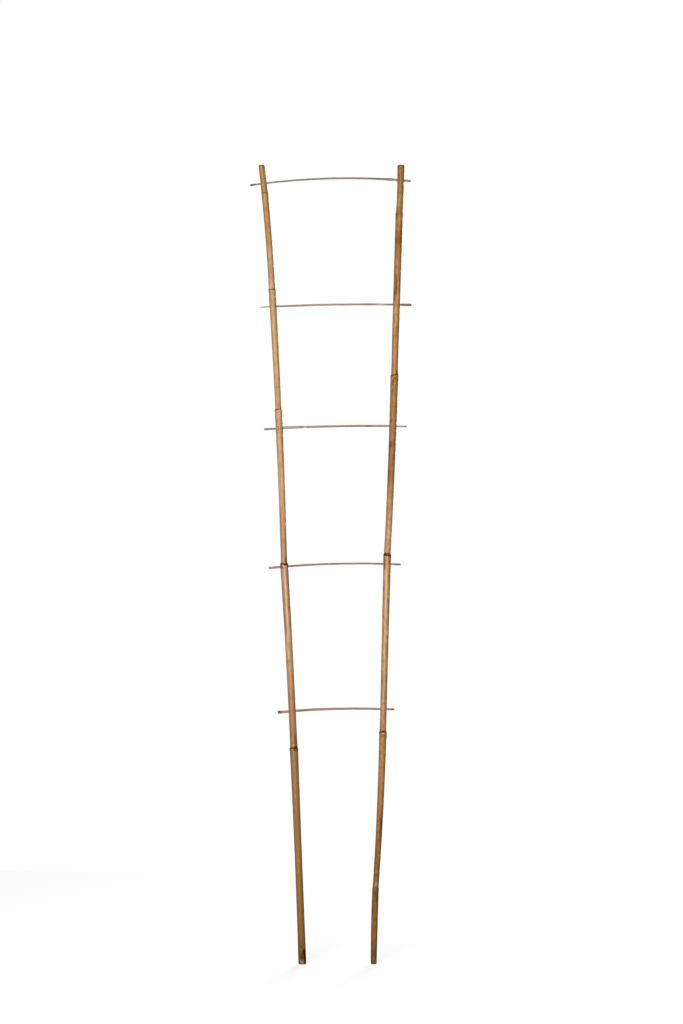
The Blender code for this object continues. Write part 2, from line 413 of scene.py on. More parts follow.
class Tone(Enum):
    """Colours of dried culm skin, which painted light at the front and painted shade on the sides
    of each cane then scale.
    """

    CREAM = "#EABE8D"
    WHEAT = "#E1B280"
    STRAW = "#DFB07C"
    CORN = "#E1A770"
    BUFF = "#D6A579"
    ROSE = "#D49F72"
    FAWN = "#C99B78"
    BISCUIT = "#D19D6B"
    APRICOT = "#CF9F68"
    HONEY = "#CC9A5A"
    SIENNA = "#C49267"
    OCHRE = "#C2905E"
    CLAY = "#BF8D63"
    AMBER = "#BE8D53"
    SAND = "#B98A57"
    GINGER = "#C0854B"
    SORREL = "#B27A4C"
    TAN = "#AF7D50"
    COPPER = "#AA793D"
    OLIVE = "#9E703C"
    RUSSET = "#9E6628"
    CHESTNUT = "#916536"
    BARK = "#805825"
    UMBER = "#6E4A1F"


class Blemish(Enum):
    """What a mark on the skin is made of; some scorch marks are painted shade, and some bloom marks
    painted highlights.
    """

    SCORCH_AND_SHADE = "scorch"
    RUST = "rust"
    BLOOM = "bloom"


class Cover(IntEnum):
    """What a face of a cane shows, in the order of the cane's materials."""

    SKIN = 0
    SAWN = 1
    LINING = 2


@dataclass(frozen=True)
class Mark:
    """A soft-edged mark on a cane's skin, level or higher on its right by the slant.

    It reaches as far to each side of its middle as its tall says in metres, and its wide in
    degrees.
    """

    kind: Blemish
    height: float
    turn: float
    tall: float
    wide: float
    strength: float
    slant: float = 0.0

    @classmethod
    def rows(cls, kind: Blemish, *rows: tuple[float, ...]) -> tuple["Mark", ...]:
        """Marks of one kind, each from its height, turn, tall, wide, strength and any slant."""
        return tuple(cls(kind, *row) for row in rows)

    def mask(self, turn: Array, height: Array) -> Array:
        """How strongly the mark shows: a flat-topped bell over height times one round the cane.

        Args:
            turn: turns round the cane, in degrees.
            height: heights, in metres.

        Returns:
            The mark's strength at each place.
        """
        up = (height - self.height - self.slant * np.sin(np.radians(turn))) / self.tall
        across = wrapped(turn - self.turn) / self.wide
        return self.strength * bell(up, FLAT_TOP) * bell(across, FLAT_TOP)


@dataclass(frozen=True)
class Node:
    """A grown joint of a cane, and the internode under it.

    The internode is a run long, has a bow to the right, and a belly or, below zero, a waist.
    The node strays to the right of the line from foot to tip, and lies at a depth behind it.
    The cane is so thick under it and over it. Its ridge leans up to the right and sags at
    the front, its scar is darkest at one turn, and over its bud's turn runs the channel.
    """

    run: float
    stray: float
    depth: float
    bow: float
    under: float
    over: float
    belly: float
    ridge: float
    lean: float
    sag: float
    scar: float
    scar_turn: float
    bud_turn: float


@dataclass(frozen=True)
class Bud:
    """A bud or the stub of a trimmed branch: a low rounded swelling of the skin."""

    height: float
    turn: float
    proud: float
    tall: float
    wide: float

    def relief(self, turn: Array, height: Array) -> Array:
        """How far the skin stands out: a bell over height times a bell round the cane."""
        across = wrapped(turn - self.turn) / self.wide
        return self.proud * bell((height - self.height) / self.tall) * bell(across)


@dataclass(frozen=True, kw_only=True)
class Finish:
    """A material whose patterns run along its piece, in places that the piece's mesh stores."""

    name: str
    place: str = "culm_place"
    along: int = 2

    def material(self) -> Material:
        """Makes the material.

        Returns:
            The material, its surface fed with what the finish paints.
        """
        material = bpy.data.materials.new(self.name)
        material.use_nodes = True
        tree = material.node_tree
        where = add_node(tree, "Attribute", attribute_name=self.place, out="Vector")
        surface = tree.nodes["Principled BSDF"]
        for socket, value in self.paint(tree, where).items():
            feed(tree, surface.inputs[socket], value)
        return material

    def paint(self, tree: Tree, where: Socket) -> dict[str, object]:
        """What each finish feeds the sockets of its surface."""
        raise NotImplementedError

    def noise(self, tree: Tree, where: Socket, wide: float, long: float, detail: float) -> Socket:
        """Noise whose grains are so wide across the piece and so long along it.

        Args:
            tree: the material's nodes.
            where: the place on the straightened piece.
            wide: the grain's size across the piece, in metres.
            long: its size along the piece, in metres.
            detail: how many finer layers it has.

        Returns:
            The noise, mostly between 0.3 and 0.7.
        """
        stretch = [1.0, 1.0, 1.0]
        stretch[self.along] = wide / long
        drawn = add_node(tree, "Mapping", where, None, None, stretch)
        return add_node(tree, "TexNoise", drawn, 1 / wide, detail)

    def shaded_by(self, tree: Tree, colour: Socket, *layers: tuple[Socket, Ramp]) -> Socket:
        """Lightens and darkens a colour by noises.

        Args:
            tree: the material's nodes.
            colour: the colour so far.
            *layers: each noise, with the ramp that makes a factor of it.

        Returns:
            The colour.
        """
        for noise, ramp in layers:
            factor = add_node(tree, "MapRange", noise, *ramp)
            colour = add_node(tree, "VectorMath", colour, factor, operation="SCALE")
        return colour

    def marked(
        self, tree: Tree, colour: Socket, ragged: Socket, layers: dict[str, str]
    ) -> tuple[Socket, Socket]:
        """Lays on the marks that the mesh carries, with edges broken up by a noise.

        Args:
            tree: the material's nodes.
            colour: the colour so far.
            ragged: the factor that breaks up the edges.
            layers: the colour of each kind of mark, from the lowest up.

        Returns:
            The colour, and how strongly the strongest mark shows.
        """
        most = 0.0
        for name, tint in layers.items():
            mask = add_node(tree, "Attribute", attribute_name=name, out="Fac")
            share = add_node(tree, "Math", mask, ragged, operation="MULTIPLY", use_clamp=True)
            colour = add_node(tree, "Mix", share, colour, linear(tint), data_type="RGBA")
            most = add_node(tree, "Math", most, share, operation="MAXIMUM")
        return colour, most


@dataclass(frozen=True, kw_only=True)
class CulmSkin(Finish):
    """The skin of a dried bamboo culm.

    The real one is a hard waxy cuticle over long fibres, sun-dried until it turned from green to
    straw. To the eye that is a satin shine, fine lines along the cane, browned streaks and
    blotches, a pale bloom of wax under the nodes and near-black scars at them. Light and shade are
    painted into the colour too: lighter on the front and darker on the sides, a pale painted
    highlight down the front, and long stripes of painted shade down the right side of each cane in
    places.
    """

    tones: tuple[tuple[float, Tone], ...]
    mottle_ramp: Ramp

    # Painted shade and painted light: what the tone is multiplied by on the sides of a cane, and at
    # its front.
    painted_shade_factor: tuple[float, float, float]
    painted_light_factor: tuple[float, float, float] = (1.04, 1.04, 1.04)

    # The real fibre lines lie about 0.4 mm apart, too fine to show, so they are drawn coarser.
    fibre_wide: float = 0.9 * MILLIMETRE
    fibre_long: float = 55 * MILLIMETRE
    streak_wide: float = 3.0 * MILLIMETRE
    streak_long: float = 60 * MILLIMETRE
    blotch_wide: float = 6 * MILLIMETRE
    blotch_long: float = 16 * MILLIMETRE
    mottle_wide: float = 3.4 * MILLIMETRE
    mottle_long: float = 8 * MILLIMETRE
    fleck_wide: float = 3.4 * MILLIMETRE
    fleck_long: float = 6.5 * MILLIMETRE
    grain: float = 0.5 * MILLIMETRE
    grain_long: float = 1.0 * MILLIMETRE
    grain_share: float = 0.4
    detail: float = 3.0
    soft_detail: float = 2.0
    tone_wander: float = 0.030
    relief: float = 0.00005

    fibre_ramp: Ramp = (0.3, 0.7, 0.85, 1.15)
    streak_ramp: Ramp = (0.50, 0.72, 0.0, 0.50)
    blotch_ramp: Ramp = (0.48, 0.66, 0.0, 0.40)
    fleck_ramp: Ramp = (0.22, 0.08, 0.0, 1.0)
    fleck_choice: Ramp = (0.70, 0.80, 0.0, 0.6)
    ragged_ramp: Ramp = (0.3, 0.7, 0.62, 1.38)

    # From clean skin to the middle of a mark.
    roughness: Ramp = (0.0, 1.0, 0.46, 0.68)
    specular: Ramp = (0.0, 1.0, 0.11, 0.04)

    streak_colour: str = "#8C5A2B"
    blotch_colour: str = "#8C6C3C"
    fleck_colour: str = "#4A2C14"
    rust_colour: str = "#84430C"
    # The bloom colour also paints highlights, and the scorch colour painted shade.
    bloom_and_highlight_colour: str = "#F0C89E"
    scar_colour: str = "#46230A"
    scorch_and_shade_colour: str = "#220D02"

    def paint(self, tree: Tree, where: Socket) -> dict[str, object]:
        """Paints the tone along the cane with painted light and shade round it, then fibres,
        streaks, blotches, flecks and marks, some of them painted shade and highlight.

        Args:
            tree: the material's nodes.
            where: the place on the straightened cane.

        Returns:
            What feeds each socket of the surface.
        """
        fibres = self.noise(tree, where, self.fibre_wide, self.fibre_long, self.detail)
        grain = self.noise(tree, where, self.grain, self.grain_long, self.soft_detail)
        colour = self.fibred(tree, where, self.toned(tree, where), fibres)
        layers = {
            "rust": self.rust_colour,
            "bloom": self.bloom_and_highlight_colour,
            "scar": self.scar_colour,
            "scorch": self.scorch_and_shade_colour,
        }
        ragged = add_node(tree, "MapRange", grain, *self.ragged_ramp)
        # How strongly the strongest mark shows, painted shade and highlight among them; it roughens
        # and dulls the skin.
        colour, marks_and_painted_light = self.marked(tree, self.blotched(tree, where, colour), ragged, layers)
        lines = add_node(tree, "Math", grain, self.grain_share, fibres, operation="MULTIPLY_ADD")
        return {
            "Base Color": colour,
            "Roughness": add_node(tree, "MapRange", marks_and_painted_light, *self.roughness),
            "Specular IOR Level": add_node(tree, "MapRange", marks_and_painted_light, *self.specular),
            "Normal": add_node(tree, "Bump", 1.0, self.relief, None, lines),
        }

    def toned(self, tree: Tree, where: Socket) -> Socket:
        """The skin's tone by height, its changes made uneven round the cane.

        Args:
            tree: the material's nodes.
            where: the place on the straightened cane.

        Returns:
            The colour, darker on the sides of the cane by a painted shade.
        """
        height = add_node(tree, "SeparateXYZ", where, out="Z")
        uneven = self.noise(tree, where, self.blotch_wide, self.blotch_long, self.soft_detail)
        wander = self.tone_wander / LADDER_HEIGHT
        shift = add_node(tree, "MapRange", uneven, 0.0, 1.0, -wander, wander)
        share = add_node(tree, "Math", height, 1 / LADDER_HEIGHT, shift, operation="MULTIPLY_ADD")
        stops = [(level / LADDER_HEIGHT, tone.value) for level, tone in self.tones]
        ramp = add_node(tree, "ValToRGB", share, stops=stops)
        # Painted light and shade: the tone is scaled up at the front of the cane and down on its
        # sides.
        painted_front_light = add_node(tree, "Attribute", attribute_name="painted_front_light", out="Fac")
        ends = (None, None, self.painted_shade_factor, self.painted_light_factor)
        level = add_node(tree, "MapRange", painted_front_light, *ends, data_type="FLOAT_VECTOR")
        return add_node(tree, "VectorMath", ramp, level, operation="MULTIPLY")

    def fibred(self, tree: Tree, where: Socket, colour: Socket, fibres: Socket) -> Socket:
        """Lightens and darkens the tone along the fibres, and browns some wider streaks.

        Args:
            tree: the material's nodes.
            where: the place on the straightened cane.
            colour: the tone so far.
            fibres: the fibre noise.

        Returns:
            The colour.
        """
        mottle = self.noise(tree, where, self.mottle_wide, self.mottle_long, self.soft_detail)
        streaks = self.noise(tree, where, self.streak_wide, self.streak_long, self.soft_detail)
        browned = add_node(tree, "MapRange", streaks, *self.streak_ramp)
        lined = self.shaded_by(tree, colour, (fibres, self.fibre_ramp), (mottle, self.mottle_ramp))
        return add_node(tree, "Mix", browned, lined, linear(self.streak_colour), data_type="RGBA")

    def blotched(self, tree: Tree, where: Socket, colour: Socket) -> Socket:
        """Adds olive blotches, and small dark flecks in some of the cells of a stretched mosaic.

        Args:
            tree: the material's nodes.
            where: the place on the straightened cane.
            colour: the colour so far.

        Returns:
            The colour.
        """
        blotches = self.noise(tree, where, self.blotch_wide, self.blotch_long, self.detail)
        share = add_node(tree, "MapRange", blotches, *self.blotch_ramp)
        mottled = add_node(tree, "Mix", share, colour, linear(self.blotch_colour), data_type="RGBA")
        stretch = (1.0, 1.0, self.fleck_wide / self.fleck_long)
        cells_at = add_node(tree, "Mapping", where, None, None, stretch)
        cells = add_node(tree, "TexVoronoi", cells_at, 1 / self.fleck_wide).node
        near = add_node(tree, "MapRange", cells.outputs["Distance"], *self.fleck_ramp)
        chosen = add_node(tree, "MapRange", cells.outputs["Color"], *self.fleck_choice)
        flecks = add_node(tree, "Math", near, chosen, operation="MULTIPLY")
        return add_node(tree, "Mix", flecks, mottled, linear(self.fleck_colour), data_type="RGBA")


@dataclass(frozen=True, kw_only=True)
class SawnCulm(Finish):
    """End grain of bamboo, sawn square or drilled.

    The real one is soft pale tissue dotted with dark bundles of fibre, packed closer towards
    the skin, with grime worked into the cut. To the eye it is matt, pale and finely spotted.
    """

    # The real bundles lie 0.3 to 0.6 mm apart, and run straight down into the cut.
    bundle_gap: float = 0.55 * MILLIMETRE
    flattened: tuple[float, float, float] = (1.0, 1.0, 0.04)
    bundle_ramp: Ramp = (0.50, 0.25, 0.0, 1.0)
    rim_ramp: Ramp = (3.0 * MILLIMETRE, 6.0 * MILLIMETRE, 0.15, 0.75)

    # Leaves the height out, so that only the way out from the cane's middle counts.
    level: tuple[float, float, float] = (1.0, 1.0, 0.0)

    tissue_colour: str = "#B9976B"
    bundle_colour: str = "#6A4526"
    grime_colour: str = "#6B5138"
    roughness: float = 0.85
    relief: float = 0.00006

    def paint(self, tree: Tree, where: Socket) -> dict[str, object]:
        """Paints dots of fibre in pale tissue, grimed towards the rim.

        Args:
            tree: the material's nodes.
            where: the place on the straightened cane.

        Returns:
            What feeds each socket of the surface.
        """
        flat = add_node(tree, "Mapping", where, None, None, self.flattened)
        bundles = add_node(tree, "TexVoronoi", flat, 1 / self.bundle_gap)
        dots = add_node(tree, "MapRange", bundles, *self.bundle_ramp)
        level = add_node(tree, "VectorMath", where, self.level, operation="MULTIPLY")
        outwards = add_node(tree, "VectorMath", level, operation="LENGTH")
        outer = add_node(tree, "MapRange", outwards, *self.rim_ramp)
        dotted = add_node(tree, "Math", dots, outer, operation="MULTIPLY")
        tissue, bundle = linear(self.tissue_colour), linear(self.bundle_colour)
        grained = add_node(tree, "Mix", dotted, tissue, bundle, data_type="RGBA")
        return {
            "Base Color": add_node(
                tree, "Mix", outer, grained, linear(self.grime_colour), data_type="RGBA"
            ),
            "Roughness": self.roughness,
            "Normal": add_node(tree, "Bump", 1.0, self.relief, None, dots),
        }


@dataclass(frozen=True, kw_only=True)
class CulmLining(Finish):
    """The lining of the air space in a culm: papery dry pith, cream, matt and a little ribbed."""

    flake: float = 1.2 * MILLIMETRE
    flake_long: float = 9 * MILLIMETRE
    detail: float = 4.0
    stops: Stops = ((0.35, "#A98D60"), (0.65, "#D8C49C"))
    roughness: float = 0.9
    relief: float = 0.0001

    def paint(self, tree: Tree, where: Socket) -> dict[str, object]:
        """Paints cream mottled by flakes drawn out along the cane.

        Args:
            tree: the material's nodes.
            where: the place on the straightened cane.

        Returns:
            What feeds each socket of the surface.
        """
        flakes = self.noise(tree, where, self.flake, self.flake_long, self.detail)
        return {
            "Base Color": add_node(tree, "ValToRGB", flakes, stops=self.stops),
            "Roughness": self.roughness,
            "Normal": add_node(tree, "Bump", 1.0, self.relief, None, flakes),
        }


@dataclass(frozen=True, kw_only=True)
class SplitBamboo(Finish):
    """Split bamboo: a strip riven off a culm and left to weather.

    The real one is bare fibre, grey-brown to rosy, on three sides, and the culm's own satin
    skin on the back. To the eye it is matt, with dark and pale lines along it.
    """

    place: str = "rung_place"
    along: int = 0

    # The real fibre bundles are 0.2 to 0.4 mm wide, so these are drawn a little coarser.
    fibre_wide: float = 0.7 * MILLIMETRE
    fibre_long: float = 60 * MILLIMETRE
    streak_wide: float = 2.2 * MILLIMETRE
    streak_long: float = 70 * MILLIMETRE
    mottle_wide: float = 3.0 * MILLIMETRE
    mottle_long: float = 9.0 * MILLIMETRE
    fluff: float = 0.30 * MILLIMETRE
    fluff_long: float = 0.90 * MILLIMETRE
    detail: float = 3.0
    relief: float = 0.00008

    fibre_ramp: Ramp = (0.3, 0.7, 0.88, 1.12)
    mottle_ramp: Ramp = (0.3, 0.7, 0.82, 1.18)
    ragged_ramp: Ramp = (0.3, 0.7, 0.5, 1.5)
    rind_ramp: Ramp = (1.35 * MILLIMETRE, 1.65 * MILLIMETRE, 0.0, 1.0)
    roughness: Ramp = (0.0, 1.0, 0.78, 0.48)
    specular: float = 0.3

    grey_colour: str = "#9F8E7B"
    rosy_colour: str = "#AC8D7A"
    dark_colour: str = "#5A483B"
    pale_colour: str = "#CDBDAA"
    rind_colour: str = "#B8945F"

    def paint(self, tree: Tree, where: Socket) -> dict[str, object]:
        """Paints weathered fibre, the rind on the back, and dark and pale patches.

        Args:
            tree: the material's nodes.
            where: the place on the straightened strip: along, back and up.

        Returns:
            What feeds each socket of the surface.
        """
        fibres = self.noise(tree, where, self.fibre_wide, self.fibre_long, self.detail)
        streaks = self.noise(tree, where, self.streak_wide, self.streak_long, self.detail)
        mottle = self.noise(tree, where, self.mottle_wide, self.mottle_long, self.detail)
        fluff = self.noise(tree, where, self.fluff, self.fluff_long, self.detail)
        warmth = add_node(tree, "Attribute", attribute_name="warmth", out="Fac")
        grey, rosy = linear(self.grey_colour), linear(self.rosy_colour)
        bare = add_node(tree, "Mix", warmth, grey, rosy, data_type="RGBA")
        back = add_node(tree, "SeparateXYZ", where, out="Y")
        rind = add_node(tree, "MapRange", back, *self.rind_ramp)
        skinned = add_node(tree, "Mix", rind, bare, linear(self.rind_colour), data_type="RGBA")
        lengthwise = ((fibres, self.fibre_ramp), (streaks, self.fibre_ramp))
        lined = self.shaded_by(tree, skinned, *lengthwise, (mottle, self.mottle_ramp))
        ragged = add_node(tree, "MapRange", fluff, *self.ragged_ramp)
        layers = {"pale": self.pale_colour, "dark": self.dark_colour}
        return {
            "Base Color": self.marked(tree, lined, ragged, layers)[0],
            "Roughness": add_node(tree, "MapRange", rind, *self.roughness),
            "Specular IOR Level": self.specular,
            "Normal": add_node(tree, "Bump", 1.0, self.relief, None, fibres),
        }


@dataclass(frozen=True)
class Culm:
    """One cane, sawn level at its foot and at its tip, with its nodes from the foot up.

    Its sizes are diameters, and the tip's bow and belly are those of the topmost internode.
    """

    name: str
    node: str
    slot: str
    foot_across: float
    tip_across: float
    foot_size: float
    tip_size: float
    tip_bow: float
    tip_belly: float
    hollow: float
    nodes: tuple[Node, ...]
    buds: tuple[Bud, ...]
    marks: tuple[Mark, ...]
    faint_rings: tuple[float, ...]
    skin: CulmSkin
    seed: int

    def each(self, field: str) -> list[float]:
        """One of the nodes' sizes, from the foot up."""
        return [getattr(node, field) for node in self.nodes]

    def levels(self) -> Array:
        """The nodes' heights: the internodes' lengths added up."""
        return np.cumsum(self.each("run"))

    def stations(self) -> tuple[Array, Array, Array]:
        """Where the middle of the cane is at its foot, at each node and at its tip.

        Returns:
            The heights, how far across each lies and how far back.
        """
        heights = np.array([0.0, *self.levels(), LADDER_HEIGHT])
        slant = (self.tip_across - self.foot_across) / LADDER_HEIGHT
        across = self.foot_across + slant * heights + [0.0, *self.each("stray"), 0.0]
        return heights, across, np.array([0.0, *self.each("depth"), 0.0])

    def stretch_at(self, height: Array) -> tuple[Array, Array]:
        """Finds the internode at each height.

        Args:
            height: heights, in metres.

        Returns:
            The internode's number at each, and the share of it that lies below.
        """
        heights = self.stations()[0]
        number = np.searchsorted(heights, height, side="right") - 1
        number = np.clip(number, 0, len(self.nodes))
        low, high = heights[number], heights[number + 1]
        return number, (height - low) / (high - low)

    def axis(self, height: Array) -> tuple[Array, Array]:
        """The middle of the cane: straight between nodes, and bowed to the right by a parabola.

        Args:
            height: heights, in metres.

        Returns:
            How far across the middle lies at each, and how far back.
        """
        heights, across, depths = self.stations()
        number, share = self.stretch_at(height)
        bowed = np.array([*self.each("bow"), self.tip_bow])[number] * 4 * share * (1 - share)
        return np.interp(height, heights, across) + bowed, np.interp(height, heights, depths)

    def taper(self, height: Array) -> Array:
        """Half the diameter without the nodes' relief.

        It runs straight along each internode, plus a parabola for its belly or its waist. At a
        node it steps in, along an S-shaped curve.

        Args:
            height: heights, in metres.

        Returns:
            The radius at each.
        """
        low = np.array([self.foot_size, *self.each("over")]) / 2
        high = np.array([*self.each("under"), self.tip_size]) / 2
        number, share = self.stretch_at(height)
        bellies = np.array([*self.each("belly"), self.tip_belly]) / 2
        straight = low[number] + (high - low)[number] * share
        straight = straight + bellies[number] * 4 * share * (1 - share)
        away = height[..., None] - self.levels()
        curve = 1 / (1 + np.exp(-np.clip(away / STEP_REACH, -STEP_LIMIT, STEP_LIMIT)))
        return straight + ((low[1:] - high[:-1]) * (curve - (away >= 0))).sum(axis=-1)

    def from_node(self, node: Node, level: float, turn: Array, height: Array) -> Array:
        """How far above a node's ring a place lies.

        The ring leans up to its right by a sine, sags towards the front by a cosine and is a
        bit ragged.

        Args:
            node: the node.
            level: its height.
            turn: turns round the cane, in degrees.
            height: heights, in metres.

        Returns:
            The height above the ring at each place.
        """
        way = np.radians(turn)
        leaning = node.lean / 2 * np.sin(way) + node.sag * (0.5 - np.cos(way))
        ragged = RAGGED * ripple(turn, RAGGED_WAVES, self.seed + round(level / MILLIMETRE))
        return height - level - leaning - ragged

    def radius(self, turn: Array, height: Array) -> Array:
        """The skin's distance from the middle of the cane.

        It is the taper, less an oval flattening that turns along the cane, plus faint facets;
        plus at each node a swelling that dies off exponentially, a bell-shaped ridge, and a
        thin proud scar with a groove over it, less the shallow channel above each bud; plus
        the buds.

        Args:
            turn: turns round the cane, in degrees.
            height: heights, in metres.

        Returns:
            The radius at each place.
        """
        oval = 0.5 + 0.5 * np.cos(2 * np.radians(turn) + FLAT_TURNING * height)
        size = self.taper(height) * (1 - FLATTENING * oval)
        size = size + FACET_DEEP * (ripple(turn, FACET_WAVES, self.seed) - 1)
        for node, level in zip(self.nodes, self.levels()):
            away = self.from_node(node, level, turn, height)
            size = size + SWELL * np.exp(-np.abs(height - level) / SWELL_REACH)
            size = size + node.ridge * bell(away / RIDGE_REACH)
            size = size + SCAR_PROUD * bell(away / SCAR_REACH)
            size = size - GROOVE_DEEP * bell((away - GROOVE_ABOVE) / GROOVE_REACH)
            above = np.clip((height - level) / SULCUS_LONG, 0, None)
            channel = bell(wrapped(turn - node.bud_turn) / SULCUS_WIDE)
            size = size - SULCUS_DEEP * channel * above * np.exp(1 - above)
        return sum((bud.relief(turn, height) for bud in self.buds), size)

    def rows(self) -> Array:
        """The heights of the mesh's rows on the skin, crowded at nodes and marks.

        The crowding is a density: one row a step, plus a bell at each node and mark. Rows lie
        where its running total reaches whole shares of the whole.

        Returns:
            The heights, from the lower rim to the upper one.
        """
        height = even(FOOT_RIM, LADDER_HEIGHT - TIP_RIM, NODE_ROW_STEP / 2)
        density = np.full(height.shape, 1 / ROW_STEP)
        for level in self.levels():
            density += bell((height - level) / NODE_ROW_REACH) / NODE_ROW_STEP
        for mark in self.marks:
            crowded = MARK_ROWS / mark.tall * bell((height - mark.height) / mark.tall)
            density = np.maximum(density, crowded)
        total = np.concatenate([[0], np.cumsum((density[1:] + density[:-1]) / 2 * np.diff(height))])
        return np.interp(np.linspace(0, total[-1], round(total[-1])), total, height)

    def outer(self) -> Shell:
        """The skin, the sawn ends and the air spaces that the ends open, as one closed surface.

        The profile runs from the closed top of the foot's air space down its lining, out across
        the sawn foot, round its worn edge, up the skin, and over the tip in the same way. Each
        row is a ring at a height, so far inside the skin, and so large a share of the way out
        to there from the air space's radius.

        Returns:
            The surface.
        """
        levels = self.levels()
        foot = self.lining_rows(levels[0] - DIAPHRAGM / 2, 0.0)
        tip = self.lining_rows(levels[-1] + DIAPHRAGM / 2, LADDER_HEIGHT)[::-1]
        bend = np.radians(np.linspace(0, 90, END_RINGS + 1))
        rise, inset = 1 - np.cos(bend), 1 - np.sin(bend)
        face = np.linspace(0, 1, END_RINGS)[1:-1]
        bore = self.hollow / 2

        # Each stretch's height, inset, share of the way out, and radius of the air space.
        parts = (
            (foot[:, 0], 0.0, 0.0, foot[:, 1]),
            (0.0, FOOT_INSET, face, bore),
            (FOOT_RIM * rise, FOOT_INSET * inset, 1.0, bore),
            (self.rows()[1:-1], 0.0, 1.0, bore),
            (LADDER_HEIGHT - TIP_RIM * rise[::-1], TIP_INSET * inset[::-1], 1.0, bore),
            (LADDER_HEIGHT, TIP_INSET, face[::-1], bore),
            (tip[:, 0], 0.0, 0.0, tip[:, 1]),
        )
        profile = np.concatenate([np.column_stack(np.broadcast_arrays(*part)) for part in parts])
        lining, sawn, lid = len(foot) - 1, len(face) + 1, len(tip) - 1
        covers = [Cover.LINING, Cover.SAWN, Cover.SKIN, Cover.SAWN, Cover.LINING]
        skin = len(profile) - 1 - lining - lid - 2 * sawn
        finish = np.repeat(covers, [lining, sawn, skin, sawn, lid])
        return Shell.lofted(self.rings(*profile.T), finish)

    def lining_rows(self, closed: float, opened: float) -> Array:
        """The profile of an air space: a round corner, a straight wall and a flared mouth.

        Args:
            closed: the height of its closed end.
            opened: the height of its mouth.

        Returns:
            The height and radius of each row.
        """
        way = np.sign(opened - closed)
        bend = np.radians(np.linspace(0, 90, END_RINGS))
        round_off = self.hollow / 2 - HOLLOW_ROUND * (1 - np.sin(bend))
        corner = closed + way * HOLLOW_ROUND * (1 - np.cos(bend))
        straight = even(corner[-1], opened - way * BORE_EDGE, CAVITY_STEP)[1:]
        height = np.concatenate([corner, straight, [opened]])
        wall = np.full(straight.shape, self.hollow / 2)
        return np.column_stack([height, [*round_off, *wall, (self.hollow + BORE_EDGE) / 2]])

    def cavity(self, low: float, high: float) -> Shell:
        """A closed air space between two nodes' walls, its faces turned in towards its middle.

        Args:
            low: the lower node's height.
            high: the upper node's height.

        Returns:
            The surface.
        """
        down = self.lining_rows(high - DIAPHRAGM / 2, (low + high) / 2)[:-1]
        up = self.lining_rows(low + DIAPHRAGM / 2, (low + high) / 2)[:-1]
        height, inner = np.concatenate([down, up[::-1]]).T
        zeros = np.zeros(len(height))
        finish = np.full(len(height) - 1, Cover.LINING)
        return Shell.lofted(self.rings(height, zeros, zeros, inner), finish)

    def rings(self, height: Array, inset: Array, outward: Array, inner: Array) -> Array:
        """Rings of points round the cane.

        Args:
            height: each ring's height.
            inset: how far inside the skin its outer radius lies.
            outward: its share of the way from the inner radius to that outer one.
            inner: its inner radius.

        Returns:
            The points, by ring, by side, by axis.
        """
        turn = np.arange(CULM_SIDES) * 360.0 / CULM_SIDES
        level = np.repeat(height[:, None], CULM_SIDES, axis=1)
        outer = self.radius(turn[None, :], level) - inset[:, None]
        size = inner[:, None] + outward[:, None] * (outer - inner[:, None])
        across, back = self.axis(height)
        x = across[:, None] + size * np.sin(np.radians(turn))
        y = back[:, None] - size * np.cos(np.radians(turn))
        return np.stack([x, y, level], axis=-1)

    def build(self, rungs: Sequence["Rung"], finishes: Sequence[Material]) -> Piece:
        """Makes the cane, drilled for its rungs, and writes the marks that its finish reads.

        Args:
            rungs: the rungs that go through it.
            finishes: skin, sawn wood and lining.

        Returns:
            The cane.
        """
        crossings = [rung.crossing(self)[2] for rung in rungs]
        heights = self.stations()[0]
        spaces = [
            self.cavity(low, high)
            for low, high in zip(heights[1:-2], heights[2:-1])
            if any(low < crossing < high for crossing in crossings)
        ]
        body = Shell.together([self.outer(), *spaces]).put(self.name, finishes)
        bores = Shell.together([rung.bore(self) for rung in rungs]).put("bores", finishes)
        body.modifiers.new("Drilled", "BOOLEAN").object = bores
        graph = bpy.context.evaluated_depsgraph_get()
        drilled = bpy.data.meshes.new_from_object(body.evaluated_get(graph))
        body.modifiers.clear()
        body.data = drilled
        bpy.data.objects.remove(bores)
        shade(drilled)
        self.write_marks(drilled)
        return body

    def write_marks(self, mesh: bpy.types.Mesh) -> None:
        """Writes each point's place on the straightened cane, how strong each mark is there, and
        its share of the painted light round the cane.

        Args:
            mesh: the cane's mesh.
        """
        points = points_of(mesh)
        height = points[:, 2]
        across, back = self.axis(height)
        east, north = points[:, 0] - across, points[:, 1] - back
        turn = np.degrees(np.arctan2(east, -north))
        write_values(mesh, {"culm_place": np.stack([east, north, height], axis=-1)})
        for kind in Blemish:
            masks = [mark.mask(turn, height) for mark in self.marks if mark.kind is kind]
            write_values(mesh, {kind.value: np.clip(np.sum(masks, axis=0), 0, 1)})
        # Painted light: one at the front of the cane, falling towards nothing on its sides, which
        # the skin turns into painted shade.
        painted_front_light = bell((turn - PAINTED_LIGHT_TURN) / PAINTED_LIGHT_WIDE)
        write_values(mesh, {"scar": self.scars(turn, height), "painted_front_light": painted_front_light})

    def scars(self, turn: Array, height: Array) -> Array:
        """The dark line at each node: two bells over height, darker on one side by a cosine.

        Args:
            turn: turns round the cane, in degrees.
            height: heights, in metres.

        Returns:
            How dark the line is at each place.
        """
        dark = np.zeros(height.shape)
        for node, level in zip(self.nodes, self.levels()):
            away = self.from_node(node, level, turn, height)
            side = 1 - SCAR_SIDE + SCAR_SIDE * np.cos(np.radians(turn - node.scar_turn))
            line = bell(away / SCAR_LINE) + SCAR_HALO * bell(away / SCAR_HALO_REACH)
            dark = dark + node.scar * side * line
        for level in self.faint_rings:
            dark = dark + FAINT_RING * bell((height - level) / SCAR_LINE)
        return np.clip(dark, 0, 1)


